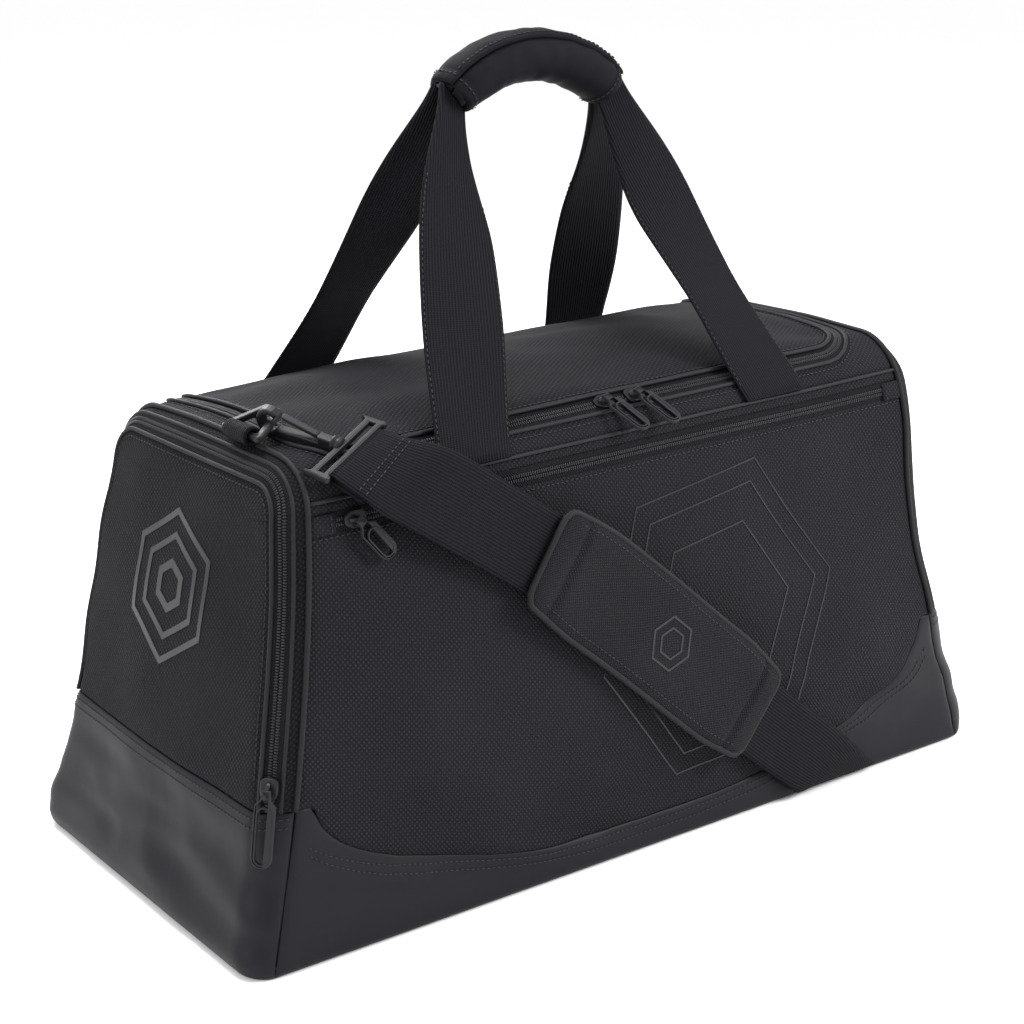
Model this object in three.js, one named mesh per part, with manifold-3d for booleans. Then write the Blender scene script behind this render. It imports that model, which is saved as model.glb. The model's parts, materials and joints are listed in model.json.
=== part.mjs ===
// A soft sports holdall with a boxy body, sewn from separate panels.
// Units are millimetres. +X runs along the bag, the front faces -Y and +Z is up.
// The origin is on the floor, under the middle of the bag.
import * as THREE from 'three';
import { mergeVertices } from 'three/addons/utils/BufferGeometryUtils.js';
import Module from 'manifold-3d';

const wasm = await Module();
wasm.setup();

// ---- driving dimensions ----
const TOP_HALF_LENGTH = 236;      // half the length at the top seam
const BASE_FLARE = 52;            // how much further out each end stands at the floor
const BASE_HALF_DEPTH = 135;
const SHOULDER_HALF_DEPTH = 103;  // where the front starts to round over
const SHOULDER_Z = 245;
const SHOULDER_RADIUS = 30;
const RISE = 0.05;                // the right end stands this much taller than the left
const DOME = 14;                  // how far the lid swells over the top
const BULGE = 8;                  // how far the front and rear swell between their seams
const WALL = 3;                   // panel with its foam and lining
const GAP = 0.3;                  // between pieces that touch
const BASE_THICKNESS = 5;
const BAND_CORNER_Z = 90;         // top of the coated band at the corners
const BAND_MIDDLE_Z = 20;         // and in the middle of the long sides
const SEAM_Z = 252;               // seam along the top of the front and rear
const POCKET_ZIP_Z = 240;
const ZIP_WIDTH = 12;             // coil with the tape that shows on both sides
const ZIP_THICKNESS = 2.4;
const LID_HALF_LENGTH = 205;
const LID_FRONT_Y = -88;          // the coil's line along the front of the lid
const LID_HINGE_Y = 80;
const LID_CORNER = 34;
const END_POCKET_DEPTH = 18;
const END_EDGE = 8;               // the end zip runs this far in from the end's edge
const WEBBING_WIDTH = 50;
const WEBBING_THICKNESS = 2.4;
const HANDLE_X = 116;             // middle of each handle leg where it is sewn on
const GRIP_HALF_SPAN = 58;
const GRIP_RADIUS = 90;           // the grip's arch
const GRIP_TOP_Z = 469;
const PAD_FROM_X = -80;           // the shoulder pad's ends along the strap
const PAD_TO_X = 72;
const PAD_WIDTH = 66;
const PAD_THICKNESS = 8;
const FRAME_WIDTH = 58;           // the bar that the strap is sewn round
const BAND_SAG_HALF = 262;        // half the length over which the band's edge sags
const BAND_SAG_POWER = 0.55;      // under 1 keeps the sag flat in the middle
const LINING = 1.5;
const FRONT_POCKET_DEPTH = 14;
const PIPING_RADIUS = 1.6;
const PIPING_PROUD = 2.3;         // the piping's middle, out from the end's surface
const MESH_POCKET_HEIGHT = 104;
const MESH_POCKET_SLACK = 9;      // how far its mouth stands off the end
const SLIDER_RAISE = 0.5;         // a slider's clearance over its coil
const SLIDER_HEIGHT = 2.6;
const BRIDGE_TOP = 5.2;           // top of the slider's bridge over the coil
const PULL_THICKNESS = 2.4;
const PULL_RAISE = 5.6;           // underside of the pull over the coil
const PULL_HEEL = 0.9;            // how far the pull reaches behind its hinge
const GRIP_HALF_WIDTH = 18.5;
const GRIP_HALF_HEIGHT = 15.5;
const GRIP_FOAM = 5;
const GRIP_FOAM_OVER = 6;
const CORE_CLEARANCE = 0.6;
const HANDLE_LIFT_OFF = 2.6;      // the handle's webbing, out from the seam
const HANDLE_STACK = 3.6;         // each folded leg, out from the grip's middle
const RING_THICKNESS = 3.6;
const TAB_WIDTH = 24;
const HOOK_THICKNESS = 5;
const GATE_THICKNESS = 4;
const BAR_THICKNESS = 3.4;
const SLIDE_LENGTH = 22;          // the strap's slide, measured along the strap

// ---- helpers: closed solids ----
const lean = Math.atan((BASE_HALF_DEPTH - SHOULDER_HALF_DEPTH) / SHOULDER_Z);
const topZ = SHOULDER_Z + SHOULDER_RADIUS * (1 - Math.sin(lean));
const topHalfDepth = SHOULDER_HALF_DEPTH - SHOULDER_RADIUS * Math.cos(lean);

function vec(x, y, z) {
  return new THREE.Vector3(x, y, z);
}

function facingOut(positions, triangles) {
  let volume = 0;
  for (const [a, b, c] of triangles) {
    volume += positions[a].dot(positions[b].clone().cross(positions[c]));
  }
  const index = volume < 0 ? triangles.map(([a, b, c]) => [a, c, b]) : triangles;
  const geometry = new THREE.BufferGeometry();
  const flat = positions.flatMap((p) => [p.x, p.y, p.z]);
  geometry.setAttribute('position', new THREE.Float32BufferAttribute(flat, 3));
  geometry.setIndex(index.flat());
  return geometry;
}

// A sheet with a thickness: at(u, v, side) gives the outer (0) and the inner (1) face.
function sheet(columns, rows, at) {
  const positions = [];
  const triangles = [];
  const number = (i, j, side) => side * (columns + 1) * (rows + 1) + j * (columns + 1) + i;
  for (const side of [0, 1]) {
    for (let j = 0; j <= rows; j += 1) {
      for (let i = 0; i <= columns; i += 1) positions.push(at(i / columns, j / rows, side));
    }
  }
  const quad = (a, b, c, d) => triangles.push([a, b, c], [a, c, d]);
  for (let j = 0; j < rows; j += 1) {
    for (let i = 0; i < columns; i += 1) {
      quad(number(i, j, 0), number(i + 1, j, 0), number(i + 1, j + 1, 0), number(i, j + 1, 0));
      quad(number(i, j, 1), number(i, j + 1, 1), number(i + 1, j + 1, 1), number(i + 1, j, 1));
    }
  }
  for (let i = 0; i < columns; i += 1) {
    quad(number(i, 0, 0), number(i, 0, 1), number(i + 1, 0, 1), number(i + 1, 0, 0));
    quad(number(i, rows, 0), number(i + 1, rows, 0), number(i + 1, rows, 1), number(i, rows, 1));
  }
  for (let j = 0; j < rows; j += 1) {
    quad(number(0, j, 0), number(0, j + 1, 0), number(0, j + 1, 1), number(0, j, 1));
    quad(number(columns, j, 0), number(columns, j, 1), number(columns, j + 1, 1), number(columns, j + 1, 0));
  }
  return facingOut(positions, triangles);
}

// A section of [across, out] points carried along stations of {p, across, out}.
function loft(stations, section) {
  const positions = [];
  const triangles = [];
  const count = section.length;
  for (const station of stations) {
    for (const [a, b] of section) {
      const wide = a * (station.wide ?? 1);
      const thick = b * (station.thick ?? 1);
      const p = station.p.clone().addScaledVector(station.across, wide);
      positions.push(p.addScaledVector(station.out, thick));
    }
  }
  for (let k = 0; k + 1 < stations.length; k += 1) {
    for (let i = 0; i < count; i += 1) {
      const a = k * count + i;
      const b = k * count + ((i + 1) % count);
      triangles.push([a, b, b + count], [a, b + count, a + count]);
    }
  }
  const cap = THREE.ShapeUtils.triangulateShape(section.map(([a, b]) => new THREE.Vector2(a, b)), []);
  const last = (stations.length - 1) * count;
  for (const [a, b, c] of cap) triangles.push([a, c, b], [last + a, last + b, last + c]);
  return facingOut(positions, triangles);
}

function rectangle(width, thickness, middle = 0) {
  const w = width / 2;
  const t = thickness / 2;
  return [[-w, middle - t], [w, middle - t], [w, middle + t], [-w, middle + t]];
}

// Stations along a curve, with the flat of the section facing along normal(t).
function along(curve, steps, normal) {
  return Array.from({ length: steps + 1 }, (_, k) => {
    const t = k / steps;
    const p = curve.getPoint(t);
    const tangent = curve.getTangent(t);
    const across = tangent.clone().cross(normal(t)).normalize();
    return { p, across, out: across.clone().cross(tangent).normalize(), t };
  });
}

function solid(geometry) {
  const bare = geometry.clone();
  bare.deleteAttribute('normal');
  bare.deleteAttribute('uv');
  const merged = mergeVertices(bare, 1e-4);
  return new wasm.Manifold(new wasm.Mesh({
    numProp: 3,
    vertProperties: new Float32Array(merged.attributes.position.array),
    triVerts: new Uint32Array(merged.index.array),
  }));
}

function geometryOf(manifold) {
  const mesh = manifold.getMesh();
  const geometry = new THREE.BufferGeometry();
  geometry.setAttribute('position', new THREE.BufferAttribute(new Float32Array(mesh.vertProperties), 3));
  geometry.setIndex(new THREE.BufferAttribute(new Uint32Array(mesh.triVerts), 1));
  return geometry;
}

const keep = (piece, cutter) => geometryOf(solid(piece).intersect(solid(cutter)));
const cut = (piece, ...cutters) => geometryOf(
  cutters.reduce((left, cutter) => left.subtract(solid(cutter)), solid(piece)),
);

// A piece drawn in x, y and z, set with its origin and its x and y axes at a place on the bag.
function inFrame(geometry, origin, xAxis, yAxis) {
  const zAxis = xAxis.clone().cross(yAxis);
  return geometry.applyMatrix4(new THREE.Matrix4().makeBasis(xAxis, yAxis, zAxis).setPosition(origin));
}

// A direction with its part along another direction taken out.
function square(direction, other) {
  return direction.clone().addScaledVector(other, -direction.dot(other)).normalize();
}

// An outline in two directions, pushed along the third ('x', 'y' or 'z') from a to b.
function prism(points, axis, from, to) {
  const shape = new THREE.Shape(points.map(([a, b]) => new THREE.Vector2(a, b)));
  const geometry = new THREE.ExtrudeGeometry(shape, { depth: to - from, bevelEnabled: false });
  geometry.translate(0, 0, from);
  const turned = {
    x: new THREE.Matrix4().set(0, 0, 1, 0, 1, 0, 0, 0, 0, 1, 0, 0, 0, 0, 0, 1),
    y: new THREE.Matrix4().set(1, 0, 0, 0, 0, 0, -1, 0, 0, 1, 0, 0, 0, 0, 0, 1),
    z: new THREE.Matrix4(),
  }[axis];
  return geometry.applyMatrix4(turned);
}

// ---- the bag's outer surface ----
const halfLength = (z) => TOP_HALF_LENGTH + BASE_FLARE * Math.max(0, 1 - z / topZ) ** 1.5;
const lift = (x) => 1 + RISE * (x + TOP_HALF_LENGTH) / (2 * TOP_HALF_LENGTH);
const lifted = (p) => p.setZ(p.z * lift(p.x));

function halfDepth(z) {
  if (z <= SHOULDER_Z) {
    return BASE_HALF_DEPTH - (BASE_HALF_DEPTH - SHOULDER_HALF_DEPTH) * z / SHOULDER_Z;
  }
  const turn = Math.asin(Math.min(1, (z - SHOULDER_Z) / SHOULDER_RADIUS + Math.sin(lean)));
  return SHOULDER_HALF_DEPTH - SHOULDER_RADIUS * (Math.cos(lean) - Math.cos(turn));
}

// Half a section as arc length runs from the floor up the front to the middle of the top.
const sideLength = SHOULDER_Z / Math.cos(lean);
const shoulderLength = SHOULDER_RADIUS * (Math.PI / 2 - lean);
const halfSection = sideLength + shoulderLength + topHalfDepth;

function section(u) {
  if (u > halfSection) {
    const other = section(2 * halfSection - u);
    return { y: -other.y, z: other.z, ny: -other.ny, nz: other.nz };
  }
  if (u <= sideLength) {
    const z = u * Math.cos(lean);
    return { y: -halfDepth(z), z, ny: -1, nz: 0 };
  }
  if (u <= sideLength + shoulderLength) {
    const turn = lean + (u - sideLength) / SHOULDER_RADIUS;
    const face = (turn - lean) / (Math.PI / 2 - lean) * Math.PI / 2;
    return {
      y: -SHOULDER_HALF_DEPTH + SHOULDER_RADIUS * (Math.cos(lean) - Math.cos(turn)),
      z: SHOULDER_Z + SHOULDER_RADIUS * (Math.sin(turn) - Math.sin(lean)),
      ny: -Math.cos(face),
      nz: Math.sin(face),
    };
  }
  return { y: -topHalfDepth + u - sideLength - shoulderLength, z: topZ, ny: 0, nz: 1 };
}

function swell(x, y) {
  const across = Math.max(0, 1 - (y / LID_FRONT_Y) ** 2);
  return DOME * across * Math.max(0, 1 - (x / TOP_HALF_LENGTH) ** 4);
}

// s runs from the left end (-1) to the right end (1); out is the distance off the surface.
function onSkin(s, u, out = 0, endGap = WALL + 2 * GAP) {
  const c = section(u);
  const side = c.z < SHOULDER_Z ? BULGE * (1 - s * s) * Math.sin(Math.PI * c.z / SHOULDER_Z) : 0;
  const p = vec(s * (halfLength(c.z) - endGap), c.y + c.ny * (out + side), c.z + c.nz * out);
  const top = c.z > SHOULDER_Z ? swell(p.x, c.y) : 0;
  return lifted(p).setZ(p.z + top);
}

// The arc length where the section reaches height z on the front.
function heightToLength(z) {
  if (z <= SHOULDER_Z) return z / Math.cos(lean);
  const turn = Math.asin((z - SHOULDER_Z) / SHOULDER_RADIUS + Math.sin(lean));
  return sideLength + SHOULDER_RADIUS * (turn - lean);
}

// The point at distance across the end, -1 at the front and 1 at the rear, at height z.
function onEnd(side, across, z, out = 0) {
  return lifted(vec(side * (halfLength(z) + out), across * halfDepth(z), z));
}

const bag = new THREE.Group();

function add(name, geometry, material) {
  geometry.computeVertexNormals();
  const mesh = new THREE.Mesh(geometry, new THREE.MeshStandardMaterial(material));
  mesh.name = name;
  bag.add(mesh);
  return mesh;
}

const woven = { color: 0x303035, roughness: 0.85, metalness: 0 };
const coated = { color: 0x46454a, roughness: 0.6, metalness: 0 };
const webbing = { color: 0x262529, roughness: 0.8, metalness: 0 };
const lining = { color: 0x1d1d20, roughness: 0.9, metalness: 0 };
const zipCoil = { color: 0x3a3a3d, roughness: 0.5, metalness: 0 };
const hardware = { color: 0x4a4a4c, roughness: 0.45, metalness: 0 };
const zipMetal = { color: 0x2e2e30, roughness: 0.4, metalness: 0.8 };
const rubber = { color: 0x39393b, roughness: 0.7, metalness: 0 };

// ---- the shoulder strap's route ----
// Where the middle of the webbing goes, and the line straight across it there.
const STRAP_ROUTE = [
  [-187.7, -95.8, 274, 0.88, 0.37, 0.3],
  [-176, -110, 265.5, 0.82, 0.3, 0.46],
  [-160, -117, 256, 0.73, 0.12, 0.66],
  [-140, -118.5, 243, 0.66, 0.05, 0.75],
  [-105, -119.5, 219, 0.64, 0.08, 0.77],
  [-75, -122, 197.5, 0.65, 0.1, 0.76],
  [-20, -128.5, 152, 0.65, 0.1, 0.76],
  [25, -134, 112, 0.65, 0.08, 0.76],
  [70, -138.5, 73, 0.64, 0.05, 0.77],
  [100, -140.5, 48, 0.64, 0, 0.77],
  [125, -141.5, 28, 0.8, 0, 0.6],
  [142, -140.5, 13, 0.97, 0, 0.24],
  [151, -137, 5.5, 1, 0, 0],
  [159, -130.5, 2, 1, 0, 0],
  [170, -121.5, 1.6, 0.97, -0.24, 0],
  [190, -107, 1.6, 0.75, -0.66, 0],
  [225, -90, 1.6, 0.45, -0.9, 0],
  [255, -81, 1.6, 0.2, -0.98, 0],
  [278, -75, 1.6, 0, -1, 0],
  [291, -72, 2, 0, -1, 0],
  [299, -70, 7, 0, -1, 0],
  [301, -67, 17, 0, -0.98, 0.2],
  [296, -60, 42, 0.05, -0.96, 0.27],
  [286, -50, 80, 0.05, -0.96, 0.27],
  [277, -40, 125, 0.05, -0.97, 0.24],
  [271, -31, 160, 0.03, -0.99, 0.15],
  [267.5, -27, 183, 0, -1, 0],
];
const STRAP_STEPS = 78;

const strapPoints = STRAP_ROUTE.map(([x, y, z]) => vec(x, y, z));
const strapCurve = new THREE.CatmullRomCurve3(strapPoints, false, 'centripetal');
const strapStations = Array.from({ length: STRAP_STEPS + 1 }, (_, k) => {
  const place = k / STRAP_STEPS * (STRAP_ROUTE.length - 1);
  const row = Math.min(Math.floor(place), STRAP_ROUTE.length - 2);
  const across = vec(...STRAP_ROUTE[row].slice(3)).normalize()
    .lerp(vec(...STRAP_ROUTE[row + 1].slice(3)).normalize(), place - row).normalize();
  const p = strapCurve.getPoint(k / STRAP_STEPS);
  const tangent = strapCurve.getTangent(k / STRAP_STEPS);
  const out = across.clone().cross(tangent).negate();
  return { p, across, tangent, wide: 1 / out.length(), out: out.clone().normalize() };
});
// Room for the webbing where it passes under the base.
const underBag = strapStations.filter(({ p }) => p.z < 14 && p.x < 300);
const strapRoom = loft(underBag, rectangle(WEBBING_WIDTH + 2, WEBBING_THICKNESS + 1));

// ---- base ----
function basePlate(inset, from, to) {
  const x = halfLength(0) - inset;
  const y = BASE_HALF_DEPTH - inset;
  return prism([[-x, -y], [x, -y], [x, y], [-x, y]], 'z', from, to);
}
add('base_panel', cut(basePlate(WALL + 2, 0, BASE_THICKNESS), strapRoom), coated);
add('base_board', basePlate(WALL + 8, BASE_THICKNESS + GAP, BASE_THICKNESS + GAP + 2), lining);

// ---- front and rear: a coated band with a sagging top edge, and a woven panel above ----
const seamLength = heightToLength(SEAM_Z);
const sideSheet = (rear, from, to, out, thickness, endGap, rows = 5) => sheet(16, rows, (a, b, side) => {
  const u = from + (to - from) * b;
  return onSkin(2 * a - 1, rear ? 2 * halfSection - u : u, out - side * thickness, endGap);
});

// The coated band's top edge: level with the ends' band at the corners, low in the middle.
function bandEdge(half, offset, steps = 22) {
  return Array.from({ length: steps + 1 }, (_, k) => {
    const x = -half + 2 * half * k / steps;
    const drop = Math.max(0, 1 - (x / BAND_SAG_HALF) ** 2) ** BAND_SAG_POWER;
    return [x, BAND_CORNER_Z - (BAND_CORNER_Z - BAND_MIDDLE_Z) * drop + offset];
  });
}
const belowBand = (offset) => prism(
  [[-400, -50], [400, -50], ...bandEdge(400, offset).reverse()], 'y', -300, 300,
);
const aboveBand = (offset) => prism([...bandEdge(400, offset), [400, 600], [-400, 600]], 'y', -300, 300);

const zipLow = heightToLength(POCKET_ZIP_Z - ZIP_WIDTH / 2);
const zipHigh = heightToLength(POCKET_ZIP_Z + ZIP_WIDTH / 2);
const frontWall = sideSheet(false, 0, zipLow - GAP, 0, WALL);
const rearWall = sideSheet(true, 0, seamLength - GAP, 0, WALL);
add('coated_band_front', cut(keep(frontWall, belowBand(0)), strapRoom), coated);
add('coated_band_rear', keep(rearWall, belowBand(0)), coated);
add('front_pocket_panel', keep(frontWall, aboveBand(GAP)), woven);
add('rear_panel', keep(rearWall, aboveBand(GAP)), woven);
add('pocket_zip_chain', sideSheet(false, zipLow, zipHigh, 0, ZIP_THICKNESS, WALL + 25, 2), zipCoil);
add('pocket_zip_welt', sideSheet(false, zipHigh + GAP, seamLength - GAP, 0, WALL, WALL + GAP, 1), woven);
for (const [side, name] of [[-1, 'left'], [1, 'right']]) {
  const start = WALL + GAP;
  const tab = sheet(2, 2, (a, b, face) => {
    const u = zipLow + (zipHigh - zipLow) * b;
    const p = onSkin(side, u, -face * WALL, start);
    const far = onSkin(side, u, -face * WALL, start + 24.5);
    return p.lerp(far, a);
  });
  add(`pocket_zip_end_tab_${name}`, tab, woven);
}
// The pocket's back wall hangs inside, a finger's width behind the front panel.
const pocketLow = heightToLength(12);
const pocketHigh = heightToLength(POCKET_ZIP_Z + 4);
const pocketBack = sideSheet(false, pocketLow, pocketHigh, -FRONT_POCKET_DEPTH, LINING, WALL + 6, 3);
add('front_pocket_lining', pocketBack, lining);

// ---- top: the surround, the lid, its zip ----
function lidOutline(grow) {
  const x = LID_HALF_LENGTH + grow;
  const front = LID_FRONT_Y - grow;
  const r = LID_CORNER + grow;
  const points = [[x, LID_HINGE_Y], [-x, LID_HINGE_Y]];
  for (const [cx, start] of [[-x + r, Math.PI], [x - r, 1.5 * Math.PI]]) {
    for (let k = 0; k <= 4; k += 1) {
      const turn = start + k * Math.PI / 8;
      points.push([cx + r * Math.cos(turn), front + r + r * Math.sin(turn)]);
    }
  }
  return points;
}
const lidColumn = (grow, rear = 0) => prism(
  lidOutline(grow).map(([x, y]) => [x, y > LID_HINGE_Y - 1 ? LID_HINGE_Y + rear : y]), 'z', 200, 400,
);
const topSheet = (out, thickness) => sheet(20, 16, (a, b, side) => {
  const from = seamLength;
  return onSkin(2 * a - 1, from + (2 * halfSection - 2 * from) * b, out - side * thickness);
});
const half = ZIP_WIDTH / 2;
add('top_surround', cut(topSheet(0, WALL), lidColumn(half + GAP, GAP)), woven);
add('lid', keep(topSheet(0, WALL), lidColumn(-half, -GAP)), woven);
const zipSheet = keep(topSheet(0, ZIP_THICKNESS), lidColumn(half, -GAP));
add('main_zip_chain', cut(zipSheet, lidColumn(-half + GAP, 20)), zipCoil);

// ---- ends ----
const endRows = [0, 45, 90, 125, 160, 200, 230, SHOULDER_Z, 255, 264, 269.5, topZ];
function endSheet(side, out, thickness, reach = 1, from = 0, top = topZ) {
  const rows = [from, ...endRows.filter((z) => z > from + 1 && z < top - 1), top];
  return sheet(6, rows.length - 1, (a, b, face) => {
    const z = rows[Math.round(b * (rows.length - 1))];
    return onEnd(side, (2 * a - 1) * reach, z, out - face * thickness);
  });
}
// An outline across the end: the end's own edge moved in by inset, from z upwards.
function endOutline(inset, from) {
  const right = [];
  const top = topZ - inset;
  const heights = [from, 240, 250, 258, 264, 269.5, topZ];
  for (const z of heights) {
    const squeezed = from + (z - from) * (top - from) / (topZ - from);
    right.push([halfDepth(z) - inset * (z < SHOULDER_Z ? 1 : 0.8), squeezed]);
  }
  return [...right, ...right.map(([y, z]) => [-y, z]).reverse()];
}
const endColumn = (side, inset, from) => prism(
  endOutline(inset, from).map(([y, z]) => [y, z * lift(side * TOP_HALF_LENGTH)]),
  'x', side < 0 ? -400 : 100, side < 0 ? -100 : 400,
);
const bandTop = (side) => BAND_CORNER_Z * lift(side * TOP_HALF_LENGTH);
const slabBetween = (low, high) => prism(
  [[-400, -300], [400, -300], [400, 300], [-400, 300]], 'z', low, high,
);

const leftEnd = endSheet(-1, 0, WALL);
const rightEnd = endSheet(1, 0, WALL);
add('coated_band_left', keep(leftEnd, slabBetween(-50, bandTop(-1))), coated);
add('coated_band_right', cut(keep(rightEnd, slabBetween(-50, bandTop(1))), strapRoom), coated);
add('right_end_panel', keep(rightEnd, slabBetween(bandTop(1) + GAP, 400)), woven);
const leftUpper = keep(leftEnd, slabBetween(bandTop(-1) + GAP, 400));
const leftColumn = (inset) => endColumn(-1, inset, BAND_CORNER_Z - 40);
const chainSheet = keep(leftUpper, leftColumn(END_EDGE - half));
add('left_end_edge', cut(leftUpper, leftColumn(END_EDGE - half - GAP)), woven);
add('end_zip_chain', cut(chainSheet, leftColumn(END_EDGE + half - 2 * GAP)), zipCoil);
add('end_flap', keep(leftUpper, leftColumn(END_EDGE + half)), woven);
add('end_pocket_lining', endSheet(-1, -END_POCKET_DEPTH, LINING, 0.84, 10, 255), lining);
// Piping round each end, a cord sewn into the seam just proud of the surface.
for (const [side, name] of [[-1, 'left'], [1, 'right']]) {
  const route = [];
  for (let z = 96; z < SHOULDER_Z; z += 37) route.push([-halfDepth(z), z]);
  for (const turn of [0, 0.35, 0.7, 1]) {
    const z = SHOULDER_Z + (topZ - SHOULDER_Z) * Math.sin(turn * Math.PI / 2);
    route.push([-halfDepth(z), z]);
  }
  const whole = [...route, ...route.map(([y, z]) => [-y, z]).reverse()];
  const points = whole.map(([y, z]) => {
    const over = z > 250 ? 1.4 : 0;
    return lifted(vec(side * (halfLength(z) + PIPING_PROUD), y * 1.006, z + over));
  });
  const curve = new THREE.CatmullRomCurve3(points, false, 'centripetal');
  const round = Array.from({ length: 6 }, (_, k) => {
    const turn = k * Math.PI / 3;
    return [PIPING_RADIUS * Math.cos(turn), PIPING_RADIUS * Math.sin(turn)];
  });
  add(`${name}_end_piping`, loft(along(curve, 32, () => vec(side, 0, 0)), round), coated);
}
// A stretch mesh pocket stands off the right end, open along its top edge.
add('mesh_pocket', sheet(10, 4, (a, b, face) => {
  const z = BAND_CORNER_Z + 8 + b * MESH_POCKET_HEIGHT;
  const off = 0.8 + MESH_POCKET_SLACK * Math.sin(Math.PI * a) ** 0.6 * b;
  return onEnd(1, (2 * a - 1) * 0.93, z, off + (1 - face) * 1.2);
}), { color: 0x3c3c40, roughness: 0.9, metalness: 0 });

// ---- zip sliders and pulls ----
// Each is built flat on its zip: x along the zip, y out of the surface, z across the zip.
function sliderBody() {
  const outline = new THREE.Shape();
  outline.moveTo(-7, -2.5).lineTo(-2, -5).lineTo(5, -5).lineTo(7, -3);
  outline.lineTo(7, 3).lineTo(5, 5).lineTo(-2, 5).lineTo(-7, 2.5).closePath();
  const body = new THREE.ExtrudeGeometry(outline, { depth: SLIDER_HEIGHT, bevelEnabled: false });
  body.rotateX(-Math.PI / 2).translate(0, SLIDER_RAISE, 0);
  const bridge = new THREE.BoxGeometry(9, 2.6, 2.2).translate(0, BRIDGE_TOP - 1.3, 0);
  return geometryOf(solid(body).add(solid(bridge)));
}
// An oblong rubber tab that lies from its hinge towards +x.
function pullTab(length, width) {
  const tab = new THREE.Shape();
  const r = width / 2;
  tab.moveTo(-PULL_HEEL, -3).lineTo(4, -3).absarc(5 + r, 0, r, 1.5 * Math.PI, 1.5 * Math.PI, false);
  tab.lineTo(length - r, -r).absarc(length - r, 0, r, -Math.PI / 2, Math.PI / 2, false);
  tab.lineTo(5 + r, r).lineTo(4, 3).lineTo(-PULL_HEEL, 3).closePath();
  const made = { depth: PULL_THICKNESS, bevelEnabled: false, curveSegments: 8 };
  return new THREE.ExtrudeGeometry(tab, made).rotateX(-Math.PI / 2);
}
function zipHead(name, origin, alongDir, outDir, pullDir, length, width) {
  add(`${name}_slider`, inFrame(sliderBody(), origin, alongDir, outDir), zipMetal);
  const underside = origin.clone().addScaledVector(outDir, PULL_RAISE);
  const tab = inFrame(pullTab(length, width), underside, square(pullDir, outDir), outDir);
  add(`${name}_pull`, tab, rubber);
}
const lidCoil = (x) => {
  const p = vec(x, LID_FRONT_Y, 0);
  const turn = Math.acos(Math.cos(lean) - (SHOULDER_HALF_DEPTH + LID_FRONT_Y) / SHOULDER_RADIUS);
  p.z = (SHOULDER_Z + SHOULDER_RADIUS * (Math.sin(turn) - Math.sin(lean))) * lift(x);
  return p;
};
const coilDir = lidCoil(50).sub(lidCoil(-50)).normalize();
const coilOut = square(vec(0, -0.55, 0.835).normalize(), coilDir);
const downFront = vec(0.35, -0.78, -0.51).normalize();
zipHead('main_zip_left', lidCoil(-12), coilDir, coilOut, downFront, 32, 12);
zipHead('main_zip_right', lidCoil(12), coilDir.clone().negate(), coilOut, downFront, 32, 12);
const pocketAt = onSkin(-0.84, heightToLength(POCKET_ZIP_Z), 0);
const pocketDir = onSkin(-0.6, heightToLength(POCKET_ZIP_Z), 0).sub(pocketAt).normalize();
const frontOut = square(vec(0, -Math.cos(lean), Math.sin(lean)), pocketDir);
zipHead('pocket_zip', pocketAt, pocketDir, frontOut, vec(0.62, 0, -0.78), 30, 12);
const endLow = onEnd(-1, -1 + END_EDGE / halfDepth(104), 104);
const endHigh = onEnd(-1, -1 + END_EDGE / halfDepth(228), 228);
const endDir = endHigh.clone().sub(endLow).normalize();
const endOut = square(vec(-1, 0, -0.2).normalize(), endDir);
const endAt = endLow.clone().addScaledVector(endOut, 0.9);
zipHead('end_zip', endAt, endDir, endOut, endDir.clone().negate(), 42, 12);

// ---- handles ----
const gripCentre = vec(0, 0, GRIP_TOP_Z - GRIP_RADIUS);
const gripEnd = Math.asin(GRIP_HALF_SPAN / GRIP_RADIUS);
const gripPoint = (turn, radius = GRIP_RADIUS) => gripCentre.clone().add(
  vec(radius * Math.sin(turn), 0, radius * Math.cos(turn)),
);
const gripStations = (reach, steps) => Array.from({ length: steps + 1 }, (_, k) => {
  const turn = -reach + 2 * reach * k / steps;
  return { p: gripPoint(turn), across: vec(0, 1, 0), out: vec(Math.sin(turn), 0, Math.cos(turn)) };
});
const seamY = (rear) => (rear ? 1 : -1) * (halfDepth(SEAM_Z) + HANDLE_LIFT_OFF);

// One leg: flat where it is sewn to the bag's side, folded in half where it enters the grip.
function legStations(side, rear) {
  const face = rear ? 1 : -1;
  const foot = vec(side * HANDLE_X, seamY(rear), 0);
  foot.z = (SEAM_Z + 2) * lift(foot.x);
  const turn = side * gripEnd * 1.03;
  const top = gripPoint(turn).add(vec(0, face * HANDLE_STACK, 0));
  const knee = top.clone().add(vec(side * 14, face * 18, -56));
  const curve = new THREE.QuadraticBezierCurve3(foot, knee, top);
  const atFoot = vec(1, 0, 0.03);
  const atGrip = vec(Math.cos(turn), 0, -Math.sin(turn)).cross(vec(0, side, 0));
  return Array.from({ length: 13 }, (_, k) => {
    const t = k / 12;
    const folding = THREE.MathUtils.smoothstep(t, 0.5, 1);
    const across = atFoot.clone().lerp(atGrip, THREE.MathUtils.smoothstep(t, 0.1, 1)).normalize();
    const out = across.clone().cross(curve.getTangent(t)).normalize();
    return { p: curve.getPoint(t), across, out, wide: 1 - 0.5 * folding, thick: 1 + 0.9 * folding };
  });
}
const webbingSection = rectangle(WEBBING_WIDTH, WEBBING_THICKNESS);
for (const [rear, name] of [[false, 'front'], [true, 'rear']]) {
  for (const [side, hand] of [[-1, 'left'], [1, 'right']]) {
    add(`${name}_handle_leg_${hand}`, loft(legStations(side, rear), webbingSection), webbing);
  }
}
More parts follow.
